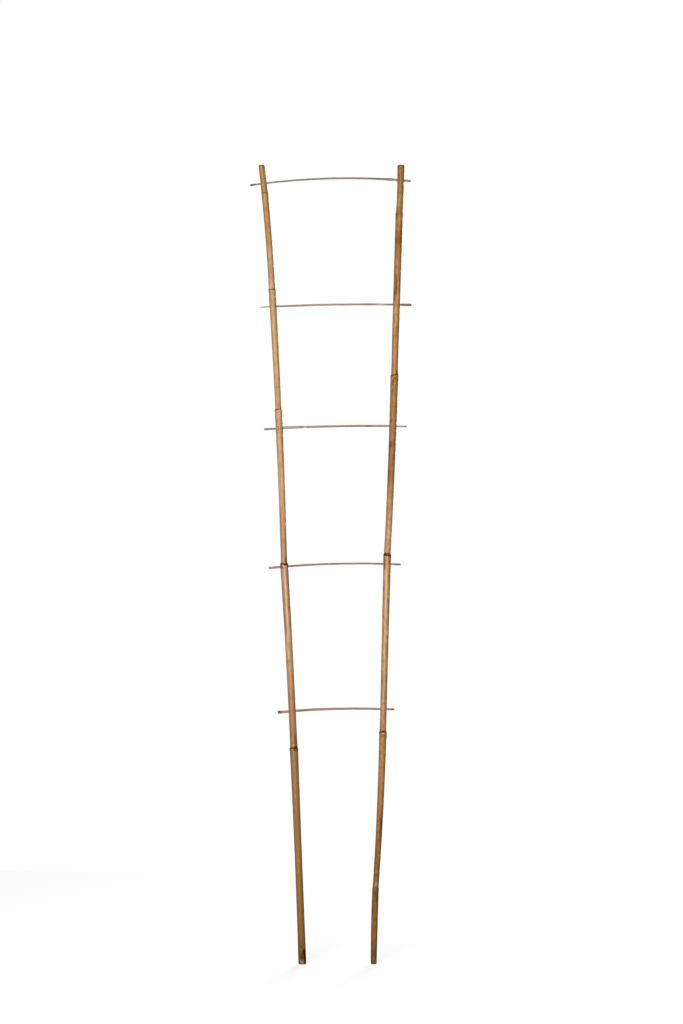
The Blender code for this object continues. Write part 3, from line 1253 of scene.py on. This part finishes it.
@dataclass(frozen=True)
class Patch:
    """A stretch of a rung, somewhere across the ladder, that is dark, pale, fuller or nicked."""

    across: float
    long: float
    strength: float

    def mask(self, across: Array) -> Array:
        """How strongly the patch shows at each place across: a flat-topped bell."""
        return self.strength * bell((across - self.across) / self.long, FLAT_TOP)


@dataclass(frozen=True, kw_only=True)
class Rung:
    """One bowed rung, given at the middles of the two canes that it goes through.

    It crosses the left cane at its height, climbs to the right one, and rises in between.
    Its warmth goes from grey at 0 to rosy at 1. Over and under are the patches where its top
    and its underside stand out or, below zero, are nicked in.
    """

    number: int
    left: Culm
    right: Culm
    height: float
    climb: float
    rise: float
    left_thick: float
    right_thick: float
    width: float
    warmth: tuple[float, float]
    seed: int
    dark: tuple[Patch, ...] = ()
    pale: tuple[Patch, ...] = ()
    over: tuple[Patch, ...] = ()
    under: tuple[Patch, ...] = ()

    @property
    def node(self) -> str:
        """The solid that the rung stands for."""
        return f"rung_{self.number}"

    @property
    def name(self) -> str:
        """The rung's name as a finished piece."""
        return f"split_rung_{self.number}"

    def crossing(self, cane: Culm) -> Array:
        """Finds where the rung crosses the middle of a cane.

        Args:
            cane: the cane.

        Returns:
            The point.
        """
        height = self.height + (self.climb if cane is self.right else 0.0)
        across, back = cane.axis(np.array(height))
        return np.array([float(across), float(back), height])

    def reach(self) -> Array:
        """The way from the left crossing to the right one."""
        return self.crossing(self.right) - self.crossing(self.left)

    def ends(self) -> tuple[float, float]:
        """Where the ends lie in the frame, counted 0 at the left crossing and 1 at the right.

        Returns:
            The left end and the right one.
        """
        low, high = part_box(self.node)
        start, span = self.crossing(self.left)[0], self.reach()[0]
        return (low.x + END_MARGIN - start) / span, (high.x - END_MARGIN - start) / span

    def middle(self, u: Array) -> Array:
        """Points along the rung: straight between the crossings, raised by a parabola.

        Args:
            u: places along it, 0 at the left crossing and 1 at the right one.

        Returns:
            The points, one row each.
        """
        points = self.crossing(self.left) + u[:, None] * self.reach()
        points[:, 2] += self.rise * 4 * u * (1 - u)
        return points

    def axes(self, u: Array) -> tuple[Array, Array, Array]:
        """The rung's heading to the right, and what is back and up across it.

        Args:
            u: places along it, 0 at the left crossing and 1 at the right one.

        Returns:
            Three arrays of unit vectors, one row for each place.
        """
        heading = np.repeat(self.reach()[None, :], len(u), axis=0)
        heading[:, 2] += self.rise * 4 * (1 - 2 * u)
        heading /= np.linalg.norm(heading, axis=1, keepdims=True)
        back = np.stack([-heading[:, 1], heading[:, 0], np.zeros(len(u))], axis=1)
        back /= np.linalg.norm(back, axis=1, keepdims=True)
        return heading, back, np.cross(heading, back)

    def thickness(self, u: Array) -> Array:
        """The section's height along the rung: a straight taper from end to end.

        Args:
            u: places along the rung.

        Returns:
            The height at each.
        """
        first, last = self.ends()
        share = (u - first) / (last - first)
        return self.left_thick + (self.right_thick - self.left_thick) * share

    def section(self, u: Array, inset: Array) -> tuple[Array, Array]:
        """The section at each place along the rung.

        It is a superellipse whose width and height waver a little, cut by ridges of fibre and
        turned by a slow twist. Where the strip was riven unevenly, its top or its underside
        stands out, or is nicked in.

        Args:
            u: places along the rung.
            inset: how far inside its full size each section lies.

        Returns:
            How far back and how far up each point lies, by place and by side.
        """
        turn = RUNG_TURNS
        along = u * self.reach()[0]
        uneven = 1 - RUNG_WAVER + RUNG_WAVER * drift(along, THICK_DRIFT, self.seed)
        slimmer = 1 - RUNG_WAVER + RUNG_WAVER * drift(along, WIDE_DRIFT, self.seed + 1)
        half_wide = self.width / 2 * slimmer - inset
        half_thick = self.thickness(u) / 2 * uneven - inset
        sway = FIBRE_SWAY * drift(along, SWAY_DRIFT, self.seed + 2)[:, None]
        fibre = RUNG_FIBRE * (ripple(np.degrees(turn)[None, :] + sway, FIBRE_WAVES, self.seed) - 1)
        back = (half_wide[:, None] * superellipse(turn) + fibre) * np.cos(turn)
        up = (half_thick[:, None] * superellipse(turn) + fibre) * np.sin(turn)
        across = self.middle(u)[:, 0]
        for patches, way in ((self.over, 1), (self.under, -1)):
            for patch in patches:
                up = up + way * patch.mask(across)[:, None] * np.clip(way * np.sin(turn), 0, 1)
        twist = np.radians(RUNG_TWIST * drift(along, TWIST_DRIFT, self.seed + 3))[:, None]
        turned_back = back * np.cos(twist) - up * np.sin(twist)
        return turned_back, back * np.sin(twist) + up * np.cos(twist)

    def rings(self, u: Array, inset: Array, cut: Array) -> Array:
        """Rings of points along the rung, its middle wavering by a hair.

        Args:
            u: places along the rung.
            inset: how far inside its full size each ring lies.
            cut: how far each ring's points are pushed along, by place and by side.

        Returns:
            The points, by ring, by side, by axis.
        """
        heading, back, up = self.axes(u)
        aside, above = self.section(u, inset)
        along = u * self.reach()[0]
        aside = aside + RUNG_WANDER * drift(along, ASIDE_DRIFT, self.seed + 4)[:, None]
        above = above + RUNG_WANDER * drift(along, ABOVE_DRIFT, self.seed + 5)[:, None]
        points = self.middle(u)[:, None, :] + heading[:, None, :] * cut[:, :, None]
        return points + back[:, None, :] * aside[:, :, None] + up[:, None, :] * above[:, :, None]

    def surface(self) -> Shell:
        """The rung as one closed surface, its ends roughly sawn and their edges worn off.

        Returns:
            The surface.
        """
        first, last = self.ends()
        span = self.reach()[0]
        edge = RUNG_EDGE / span
        step = edge / RUNG_EDGE_RINGS
        middle = even(first + edge, last - edge, RUNG_STEP / span)
        u = np.concatenate([[first, first + step], middle, [last - step, last]])
        inset = np.zeros(len(u))
        inset[[0, -1]] = RUNG_EDGE
        inset[[1, -2]] = RUNG_EDGE / RUNG_EDGE_RINGS
        turn = np.degrees(RUNG_TURNS)
        start_waves, end_waves = END_WAVES
        cut = np.zeros((len(u), RUNG_SIDES))
        cut[:RUNG_EDGE_RINGS] = END_ROUGH * (1 + ripple(turn, start_waves, self.seed + 6))
        cut[-RUNG_EDGE_RINGS:] = -END_ROUGH * (1 + ripple(turn, end_waves, self.seed + 7))
        return Shell.lofted(self.rings(u, inset, cut), np.zeros(len(u) - 1, int))

    def bore(self, cane: Culm) -> Shell:
        """The hole through a cane: a round bar along the rung's heading where they cross.

        Its radius is the furthest corner of the rung's section plus the clearance.

        Args:
            cane: the cane that is drilled.

        Returns:
            The bar, longer than the cane is wide.
        """
        u = np.array([0.0 if cane is self.left else 1.0])
        heading, back, up = (axis[0] for axis in self.axes(u))
        wide, thick = self.width * np.cos(RUNG_TURNS), self.thickness(u) * np.sin(RUNG_TURNS)
        corner = np.hypot(wide, thick) * superellipse(RUNG_TURNS) / 2
        radius = corner.max() + HOLE_CLEARANCE
        side = np.arange(BORE_SIDES)[:, None] * 2 * np.pi / BORE_SIDES
        ring = self.crossing(cane) + radius * (np.cos(side) * back + np.sin(side) * up)
        past = (float(cane.taper(np.array(self.height))) + OVERCUT) * heading
        return Shell.lofted(np.stack([ring - past, ring + past]), np.array([Cover.SAWN]))

    def build(self, finish: Material) -> Piece:
        """Makes the rung and writes what its finish reads.

        Args:
            finish: split bamboo.

        Returns:
            The rung.
        """
        item = self.surface().put(self.name, [finish])
        shade(item.data)
        points = points_of(item.data)
        span = self.reach()[0]
        u = (points[:, 0] - self.crossing(self.left)[0]) / span
        _, back, up = self.axes(u)
        away = points - self.middle(u)
        place = [u * span + self.seed, (away * back).sum(axis=1), (away * up).sum(axis=1)]
        first, last = self.ends()
        to_end = np.clip(np.minimum(u - first, last - u) * span, 0, None)
        grimed = END_GRIME * np.exp(-to_end / END_GRIME_REACH)
        dark = sum((patch.mask(points[:, 0]) for patch in self.dark), grimed)
        pale = sum((patch.mask(points[:, 0]) for patch in self.pale), np.zeros(len(points)))
        values = {
            "rung_place": np.stack(place, axis=-1),
            "warmth": np.interp(u, [first, last], self.warmth),
            "dark": np.clip(dark, 0, 1),
            "pale": np.clip(pale, 0, 1),
        }
        write_values(item.data, values)
        return item


# Both skins' tones run darker towards the foot.
HONEY_SKIN = CulmSkin(
    name="satin_honey_culm_skin",
    tones=(
        (0.000, Tone.BARK), (0.140, Tone.OLIVE), (0.190, Tone.COPPER), (0.340, Tone.TAN),
        (0.390, Tone.TAN), (0.450, Tone.CLAY), (0.505, Tone.SIENNA), (0.550, Tone.BUFF),
        (0.600, Tone.WHEAT), (0.640, Tone.FAWN), (0.790, Tone.FAWN), (0.860, Tone.WHEAT),
        (0.930, Tone.CREAM), (1.005, Tone.BUFF), (1.040, Tone.CREAM), (1.085, Tone.STRAW),
        (1.150, Tone.STRAW), (1.250, Tone.STRAW), (1.315, Tone.WHEAT), (1.360, Tone.HONEY),
        (1.500, Tone.HONEY),
    ),
    mottle_ramp=(0.3, 0.7, 0.88, 1.12),
    painted_shade_factor=(0.66, 0.70, 0.70),
)

TAWNY_SKIN = CulmSkin(
    name="satin_tawny_culm_skin",
    tones=(
        (0.000, Tone.UMBER), (0.045, Tone.BARK), (0.100, Tone.RUSSET), (0.122, Tone.BARK),
        (0.145, Tone.CHESTNUT), (0.190, Tone.CHESTNUT), (0.278, Tone.COPPER), (0.325, Tone.TAN),
        (0.370, Tone.SAND), (0.415, Tone.SAND), (0.480, Tone.ROSE), (0.530, Tone.OCHRE),
        (0.572, Tone.CORN), (0.600, Tone.BUFF), (0.640, Tone.BUFF), (0.755, Tone.ROSE),
        (0.773, Tone.BUFF), (0.796, Tone.STRAW), (0.830, Tone.BUFF), (0.866, Tone.BISCUIT),
        (0.910, Tone.TAN), (1.000, Tone.SORREL), (1.060, Tone.GINGER), (1.092, Tone.GINGER),
        (1.134, Tone.OCHRE), (1.180, Tone.AMBER), (1.224, Tone.APRICOT), (1.275, Tone.AMBER),
        (1.315, Tone.AMBER), (1.359, Tone.RUSSET), (1.405, Tone.AMBER), (1.500, Tone.COPPER),
    ),
    mottle_ramp=(0.3, 0.7, 0.72, 1.28),
    painted_shade_factor=(0.69, 0.70, 0.66),
)

LEFT_CANE = Culm(
    name="honey_cane",
    node="cane_left",
    slot="honey_culm",
    foot_across=-0.0532,
    tip_across=-0.1302,
    foot_size=0.0150,
    tip_size=0.0118,
    tip_bow=0.0001,
    tip_belly=0.0,
    hollow=0.0052,
    nodes=(
        Node(
            run=0.4042, stray=0.0048, depth=0.0015, bow=0.0004, under=0.0158, over=0.0137,
            belly=-0.0015, ridge=0.0005, lean=0.0004, sag=0.0004,
            scar=0.65, scar_turn=60, bud_turn=150,
        ),
        Node(
            run=0.3467, stray=0.0042, depth=-0.0004, bow=0.0008, under=0.0150, over=0.0117,
            belly=-0.0005, ridge=0.0005, lean=-0.0006, sag=0.0014,
            scar=0.9, scar_turn=50, bud_turn=-20,
        ),
        Node(
            run=0.2903, stray=0.0085, depth=-0.0018, bow=0.0008, under=0.0139, over=0.0114,
            belly=0.0, ridge=0.0003, lean=0.0044, sag=0.0006,
            scar=0.6, scar_turn=0, bud_turn=165,
        ),
        Node(
            run=0.2251, stray=0.0080, depth=-0.0010, bow=0.0004, under=0.0135, over=0.0119,
            belly=0.0001, ridge=0.0003, lean=0.0004, sag=0.0010,
            scar=0.65, scar_turn=40, bud_turn=-5,
        ),
        Node(
            run=0.1812, stray=0.0036, depth=0.0008, bow=0.0010, under=0.0124, over=0.0119,
            belly=0.0001, ridge=0.0001, lean=0.0002, sag=0.0006,
            scar=0.2, scar_turn=0, bud_turn=170,
        ),
    ),
    buds=(
        Bud(height=0.4090, turn=150, proud=0.0006, tall=0.0022, wide=16),
        Bud(height=1.0452, turn=165, proud=0.0005, tall=0.0020, wide=15),
        Bud(height=1.4510, turn=170, proud=0.0004, tall=0.0018, wide=14),
    ),
    # Height, turn, tall, wide, strength and, for some, slant.
    marks=(
        *Mark.rows(
            Blemish.SCORCH_AND_SHADE,
            (1.4985, 0, 0.0018, ALL_ROUND, 0.45), (1.496, 62, 0.003, 30, 0.6),
            # The long faint mark at 1.26 down the right side is painted shade.
            (1.26, 74, 0.23, 30, 0.22), (1.2612, -3, 0.0009, 8, 0.55),
            (1.0418, -30, 0.0016, 34, 0.45, 0.003), (1.036, -44, 0.0009, 20, 0.5, 0.001),
            (0.757, 34, 0.0036, 22, 0.3), (0.7505, 30, 0.0018, 36, 1), (0.752, 66, 0.0036, 26, 0.8),
            (0.7518, -26, 0.0012, 18, 0.7), (0.749, -68, 0.0024, 18, 0.5),
            (0.7458, -46, 0.0012, 12, 0.4), (0.74, 72, 0.009, 20, 0.35),
            (0.6758, -10, 0.0012, 7, 0.35), (0.567, -58, 0.0016, 13, 0.65),
            (0.407, 38, 0.0028, 30, 0.65), (0.4062, -24, 0.0012, 20, 0.55),
            (0.4045, 4, 0.0022, 12, 0.6), (0.4026, -62, 0.0026, 20, 1),
            (0.4052, 26, 0.0012, 18, 0.55), (0.4032, 72, 0.0052, 24, 0.7),
            (0.024, 34, 0.0034, 24, 1), (0.015, 54, 0.013, 32, 1), (0.018, -4, 0.008, 48, 0.34),
            (0.026, -76, 0.024, 24, 0.7), (0.012, -2, 0.0026, 16, 0.45),
            (0.001, -70, 0.003, 34, 0.8),
        ),
        *Mark.rows(
            Blemish.RUST,
            (1.4475, 0, 0.0014, ALL_ROUND, 0.4), (0.9612, 0, 0.0009, 9, 0.35),
            (0.76, 40, 0.006, 26, 0.6), (0.7518, -24, 0.0016, 20, 0.9),
            (0.745, -36, 0.003, 20, 0.85), (0.686, -9, 0.002, 7, 0.45), (0.664, 4, 0.0026, 6, 0.45),
            (0.638, -12, 0.003, 8, 0.35), (0.42, 32, 0.013, 22, 0.6), (0.4068, 42, 0.0036, 34, 0.6),
            (0.406, -26, 0.0018, 24, 1), (0.4014, 16, 0.0013, 28, 0.9),
            (0.0338, -4, 0.0036, 22, 0.8), (0.013, -10, 0.004, 26, 0.4),
        ),
        *Mark.rows(
            Blemish.BLOOM,
            (1.2638, -8, 0.0013, 18, 0.45), (1.0385, -34, 0.0018, 20, 0.4, 0.003),
            # The long pale stripe at 0.683 down the front is a painted highlight over paler skin;
            # the short marks are pale spots of wax bloom.
            (0.748, -12, 0.0022, 16, 0.75), (0.683, 1, 0.064, 15, 0.95),
            (0.411, 2, 0.0022, 14, 0.4), (0.4034, -26, 0.0014, 12, 0.85),
            (0.4034, 28, 0.001, 16, 0.6), (0.0045, -6, 0.0034, 26, 0.25),
        ),
    ),
    faint_rings=(1.0832,),
    skin=HONEY_SKIN,
    seed=3,
)

RIGHT_CANE = Culm(
    name="tawny_cane",
    node="cane_right",
    slot="tawny_culm",
    foot_across=0.0806,
    tip_across=0.1317,
    foot_size=0.0112,
    tip_size=0.0138,
    tip_bow=0.0006,
    tip_belly=-0.0005,
    hollow=0.0048,
    nodes=(
        Node(
            run=0.1427, stray=-0.0013, depth=0.0002, bow=-0.0005, under=0.0120, over=0.0110,
            belly=0.0009, ridge=0.0001, lean=-0.0012, sag=0.0,
            scar=0.2, scar_turn=0, bud_turn=160,
        ),
        Node(
            run=0.2932, stray=0.0024, depth=-0.0020, bow=0.0016, under=0.0138, over=0.0120,
            belly=0.0, ridge=0.0005, lean=0.0002, sag=-0.0004,
            scar=0.75, scar_turn=10, bud_turn=-15,
        ),
        Node(
            run=0.3319, stray=-0.0007, depth=-0.0006, bow=-0.0001, under=0.0144, over=0.0125,
            belly=-0.0003, ridge=0.0004, lean=-0.0004, sag=0.0012,
            scar=0.8, scar_turn=-60, bud_turn=170,
        ),
        Node(
            run=0.3379, stray=0.0014, depth=0.0018, bow=0.0011, under=0.0148, over=0.0122,
            belly=-0.0003, ridge=0.0003, lean=0.0028, sag=0.0006,
            scar=0.7, scar_turn=20, bud_turn=62,
        ),
        Node(
            run=0.3042, stray=0.0001, depth=0.0006, bow=-0.0002, under=0.0139, over=0.0124,
            belly=0.0005, ridge=0.0002, lean=0.0004, sag=0.0006,
            scar=0.3, scar_turn=-30, bud_turn=-160,
        ),
    ),
    buds=(
        Bud(height=1.1108, turn=64, proud=0.0006, tall=0.0024, wide=18),
        Bud(height=0.7712, turn=170, proud=0.0006, tall=0.0022, wide=16),
        Bud(height=0.4285, turn=76, proud=0.0007, tall=0.0036, wide=24),
        Bud(height=1.4140, turn=-160, proud=0.0005, tall=0.0020, wide=16),
    ),
    # Height, turn, tall, wide, strength and, for some, slant.
    marks=(
        *Mark.rows(
            Blemish.SCORCH_AND_SHADE,
            # The long faint marks at 1.22 and 0.59 down the right side are painted shade.
            (1.4985, 0, 0.0018, ALL_ROUND, 0.4), (1.22, 74, 0.13, 26, 0.22),
            (1.272, -14, 0.005, 8, 0.35), (1.111, 42, 0.0042, 20, 0.45),
            (1.106, 62, 0.0036, 20, 0.3), (1.0994, 12, 0.0015, 12, 0.9), (1.0972, 52, 0.002, 15, 1),
            (1.0922, -18, 0.0048, 8, 0.35), (0.769, -48, 0.0026, 30, 1),
            (0.77, 12, 0.0016, 34, 0.5), (0.766, 42, 0.0018, 26, 0.8), (0.762, -72, 0.008, 18, 0.5),
            (0.59, 74, 0.15, 28, 0.34), (0.4374, 8, 0.0014, 32, 0.85),
            (0.4375, -58, 0.003, 18, 0.6), (0.425, 38, 0.005, 9, 0.35), (0.26, 30, 0.018, 18, 0.4),
            (0.05, 70, 0.07, 28, 0.35), (0.133, 30, 0.008, 50, 0.22),
        ),
        *Mark.rows(
            Blemish.RUST,
            (1.4128, 0, 0.0013, ALL_ROUND, 0.45), (1.4062, 0, 0.0014, ALL_ROUND, 0.45),
            (1.404, -55, 0.0045, 32, 0.55), (1.359, 0, 0.007, ALL_ROUND, 0.35),
            (1.273, -16, 0.019, 15, 0.95), (1.256, -44, 0.012, 17, 0.75), (1.19, 4, 0.006, 9, 0.5),
            (1.11, 40, 0.004, 20, 0.9), (1.0922, -18, 0.0052, 10, 1), (1.086, 12, 0.003, 8, 0.5),
            (1.085, 40, 0.01, 14, 0.45), (1.076, -24, 0.005, 14, 0.55),
            (0.9745, -32, 0.0065, 30, 0.9), (0.958, -38, 0.01, 18, 0.5), (0.92, -46, 0.01, 20, 0.7),
            (0.769, 0, 0.0034, 60, 0.75), (0.755, 38, 0.005, 13, 0.7),
            (0.752, -44, 0.011, 26, 0.65), (0.743, 56, 0.0085, 18, 0.45),
            (0.642, 14, 0.0055, 9, 0.6), (0.43, 6, 0.0018, 30, 0.7), (0.256, 27, 0.026, 24, 0.8),
            (0.215, -22, 0.02, 16, 0.45), (0.102, -50, 0.01, 24, 0.85),
        ),
        *Mark.rows(
            Blemish.BLOOM,
            # The long pale stripes at 0.705 and 0.595 down the front are a painted highlight over
            # paler skin, and the mark at 0.433 under a ring is a painted highlight; the other short
            # marks are wax bloom.
            (1.11, 4, 0.0014, 14, 0.35), (0.705, -4, 0.044, 16, 0.9), (0.595, -3, 0.08, 15, 0.45),
            (0.433, 4, 0.0014, 14, 0.6), (0.15, 4, 0.0036, 22, 0.3),
        ),
    ),
    faint_rings=(0.4900,),
    skin=TAWNY_SKIN,
    seed=8,
)

RUNGS = (
    Rung(
        number=1,
        left=LEFT_CANE,
        right=RIGHT_CANE,
        height=1.4653,
        climb=0.0060,
        rise=0.0065,
        left_thick=0.0032,
        right_thick=0.0042,
        width=0.0038,
        warmth=(0.15, 0.45),
        dark=(
            Patch(0.0, ALL_ALONG, 0.08), Patch(-0.148, 0.006, 0.5), Patch(-0.095, 0.012, 0.3),
            Patch(0.090, 0.020, 0.3),
        ),
        pale=(Patch(0.030, 0.030, 0.15),),
        over=(
            Patch(-0.147, 0.006, 0.0004), Patch(-0.080, 0.028, -0.0001),
            Patch(0.112, 0.012, 0.0005),
        ),
        under=(Patch(-0.147, 0.006, 0.0004), Patch(0.112, 0.012, 0.0003)),
        seed=11,
    ),
    Rung(
        number=2,
        left=LEFT_CANE,
        right=RIGHT_CANE,
        height=1.2340,
        climb=0.0039,
        rise=0.0019,
        left_thick=0.0036,
        right_thick=0.0037,
        width=0.0040,
        warmth=(0.35, 0.20),
        dark=(Patch(-0.075, 0.022, 0.10), Patch(0.134, 0.020, 0.5)),
        pale=(
            Patch(0.0, ALL_ALONG, 0.05), Patch(-0.080, 0.016, 0.15), Patch(-0.122, 0.010, 0.4),
            Patch(-0.010, 0.030, 0.2), Patch(0.093, 0.007, 0.8),
        ),
        over=(Patch(-0.128, 0.013, -0.0005), Patch(0.146, 0.014, 0.0006)),
        under=(
            Patch(-0.128, 0.013, -0.0009), Patch(-0.072, 0.014, 0.0003),
            Patch(0.146, 0.014, 0.0006),
        ),
        seed=23,
    ),
    Rung(
        number=3,
        left=LEFT_CANE,
        right=RIGHT_CANE,
        height=1.0057,
        climb=0.0041,
        rise=0.0018,
        left_thick=0.0045,
        right_thick=0.0042,
        width=0.0042,
        warmth=(0.50, 0.25),
        dark=(Patch(-0.113, 0.009, 0.4), Patch(0.071, 0.006, 0.4)),
        pale=(
            Patch(0.0, ALL_ALONG, 0.08), Patch(-0.073, 0.016, 0.35), Patch(-0.048, 0.003, 0.5),
            Patch(-0.030, 0.014, 0.25), Patch(0.080, 0.026, 0.14), Patch(0.132, 0.010, 0.4),
        ),
        over=(
            Patch(-0.113, 0.013, -0.0008), Patch(-0.073, 0.018, 0.0009),
            Patch(0.010, 0.024, -0.0003), Patch(0.132, 0.016, -0.0007),
        ),
        under=(Patch(-0.0480, 0.0030, -0.0009),),
        seed=37,
    ),
    Rung(
        number=4,
        left=LEFT_CANE,
        right=RIGHT_CANE,
        height=0.7459,
        climb=0.0051,
        rise=0.0028,
        left_thick=0.0039,
        right_thick=0.0038,
        width=0.0036,
        warmth=(0.60, 0.45),
        dark=(Patch(-0.068, 0.010, 0.4), Patch(0.004, 0.003, 0.3), Patch(0.125, 0.008, 0.3)),
        over=(Patch(-0.104, 0.012, 0.0003), Patch(-0.045, 0.016, 0.0004)),
        under=(Patch(-0.104, 0.012, 0.0003),),
        seed=41,
    ),
    Rung(
        number=5,
        left=LEFT_CANE,
        right=RIGHT_CANE,
        height=0.4746,
        climb=0.0041,
        rise=0.0024,
        left_thick=0.0047,
        right_thick=0.0040,
        width=0.0040,
        warmth=(0.55, 0.75),
        dark=(
            Patch(0.0, ALL_ALONG, 0.12), Patch(-0.097, 0.005, 0.5), Patch(-0.050, 0.018, 0.15),
            Patch(0.117, 0.004, 0.4),
        ),
        over=(Patch(-0.097, 0.010, 0.0006), Patch(-0.030, 0.038, 0.0003)),
        under=(Patch(-0.097, 0.010, 0.0005),),
        seed=59,
    ),
)


@dataclass(frozen=True)
class Ladder:
    """The whole ladder: its canes, and the rungs wedged in them."""

    canes: tuple[Culm, ...]
    rungs: tuple[Rung, ...]
    body: str
    rung_slot: str

    def build(self) -> None:
        """Makes each cane and rung in place of its solid in the frame."""
        sawn = SawnCulm(name="sawn_culm_end_grain").material()
        lining = CulmLining(name="dry_culm_lining").material()
        for cane in self.canes:
            item = cane.build(self.rungs, [cane.skin.material(), sawn, lining])
            self.mount(item, cane.node, cane.slot)
        riven = SplitBamboo(name="weathered_split_bamboo").material()
        for rung in self.rungs:
            self.mount(rung.build(riven), rung.node, self.rung_slot)

    def mount(self, item: Piece, node: str, slot: str) -> None:
        """Puts a finished piece on its body in place of a solid, and reports it.

        Args:
            item: the piece.
            node: the solid that it stands for.
            slot: not used.
        """
        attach(item, self.body)
        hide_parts(node)
        item.data.calc_loop_triangles()
        size = np.round(np.ptp(points_of(item.data), axis=0) / MILLIMETRE, 1)
        LOG.info("%s: %d triangles, %s mm", item.name, len(item.data.loop_triangles), size)


@dataclass(frozen=True)
class Lamp:
    """A square softbox, by where it stands and what it points at."""

    name: str
    place: tuple[float, float, float]
    target: tuple[float, float, float]
    side: float
    watts: float

    def build(self) -> None:
        """Makes the lamp, unseen by the camera."""
        light = bpy.data.lights.new(self.name, "AREA")
        light.shape = "SQUARE"
        light.size = self.side
        light.energy = self.watts
        item = show(self.name, light)
        item.location = self.place
        aim = Vector(self.target) - Vector(self.place)
        item.rotation_euler = aim.to_track_quat("-Z", "Y").to_euler()
        item.visible_camera = False


@dataclass(frozen=True)
class Studio:
    """A plain pale floor, soft light and a level camera square on to the ladder."""

    eye_across: float = 0.0202
    eye_height: float = 0.8485
    distance: float = 5.0
    frame_height: float = 1.9223
    sensor: float = 36.0

    # A camera looks straight down until it is turned up by this much.
    turned_up: float = 90.0
    floor_reach: float = 1.3
    floor_drop: float = 0.0001
    floor_colour: str = "#C8C8C8"

    # How much the floor is lifted towards white where it is seen: less further out.
    floor_lift: Ramp = (0.8, 2.2, 0.726, 0.63)

    # How bright the sky is: dim as light on the object, and white where it is seen.
    sky: Ramp = (0.0, 1.0, 0.14, 1.0)
    sky_colour: str = "#FFFFFF"
    lamps: tuple[Lamp, ...] = (
        Lamp("front_softbox", (-1.30, -6.0, 1.60), (0.0, 0.0, 0.75), 1.8, 300.0),
        Lamp("back_softbox", (1.30, 6.0, 1.60), (0.0, 0.0, 0.75), 1.8, 258.0),
    )

    def build(self) -> None:
        """Makes the camera, the lamps, the sky and the floor, and shows colours as written."""
        bpy.context.scene.view_settings.view_transform = "Standard"
        self.place_camera()
        for lamp in self.lamps:
            lamp.build()
        self.light_sky()
        self.lay_floor()
        LOG.info("studio: camera, %d lamps, sky and floor", len(self.lamps))

    def place_camera(self) -> None:
        """Stands the camera so that the frame's height takes in what the photograph does."""
        camera = bpy.data.cameras.new("camera")
        camera.sensor_width = self.sensor
        camera.lens = self.sensor * self.distance / self.frame_height
        item = show("camera", camera)
        item.location = (self.eye_across, -self.distance, self.eye_height)
        item.rotation_euler = (radians(self.turned_up), 0.0, 0.0)
        bpy.context.scene.camera = item

    def light_sky(self) -> None:
        """Lights the object with a dim even sky that looks white itself."""
        world = bpy.data.worlds.new("studio")
        world.use_nodes = True
        bpy.context.scene.world = world
        tree = world.node_tree
        sky = tree.nodes["Background"].inputs
        feed(tree, sky["Color"], linear(self.sky_colour))
        feed(tree, sky["Strength"], add_node(tree, "MapRange", self.seen(tree), *self.sky))

    def seen(self, tree: Tree) -> Socket:
        """Tells rays that look from rays that light.

        Args:
            tree: the nodes.

        Returns:
            One for a ray from the camera, a reflection or a look through, and zero otherwise.
        """
        rays = add_node(tree, "LightPath").node.outputs
        looks = rays["Is Camera Ray"]
        for kind in ("Is Glossy Ray", "Is Transmission Ray"):
            looks = add_node(tree, "Math", looks, rays[kind], operation="MAXIMUM")
        return looks

    def lay_floor(self) -> None:
        """Lays the floor: matt off-white, its own colour lifted to white where it is seen."""
        sides = ((-1, -1), (1, -1), (1, 1), (-1, 1))
        corners = [(x * self.floor_reach, y * self.floor_reach, -self.floor_drop) for x, y in sides]
        mesh = bpy.data.meshes.new("floor")
        mesh.from_pydata(corners, [], [(0, 1, 2, 3)])
        show("floor", mesh)
        paper = bpy.data.materials.new("matt_white_paper")
        paper.use_nodes = True
        tree = paper.node_tree
        tree.nodes.remove(tree.nodes["Principled BSDF"])
        place = add_node(tree, "TexCoord", out="Object")
        away = add_node(tree, "VectorMath", place, operation="LENGTH")
        lifted = add_node(tree, "MapRange", away, *self.floor_lift)
        lift = add_node(tree, "Math", self.seen(tree), lifted, operation="MULTIPLY")
        matt = add_node(tree, "BsdfDiffuse", linear(self.floor_colour))
        both = add_node(tree, "AddShader", matt, add_node(tree, "Emission", None, lift))
        feed(tree, tree.nodes["Material Output"].inputs["Surface"], both)
        mesh.materials.append(paper)


def main() -> None:
    """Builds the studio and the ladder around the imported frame."""
    logging.basicConfig(level=logging.INFO, format="%(name)s %(message)s")
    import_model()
    Studio().build()
    Ladder((LEFT_CANE, RIGHT_CANE), RUNGS, body="root", rung_slot="split_bamboo").build()


if __name__ == "__main__":
    main()
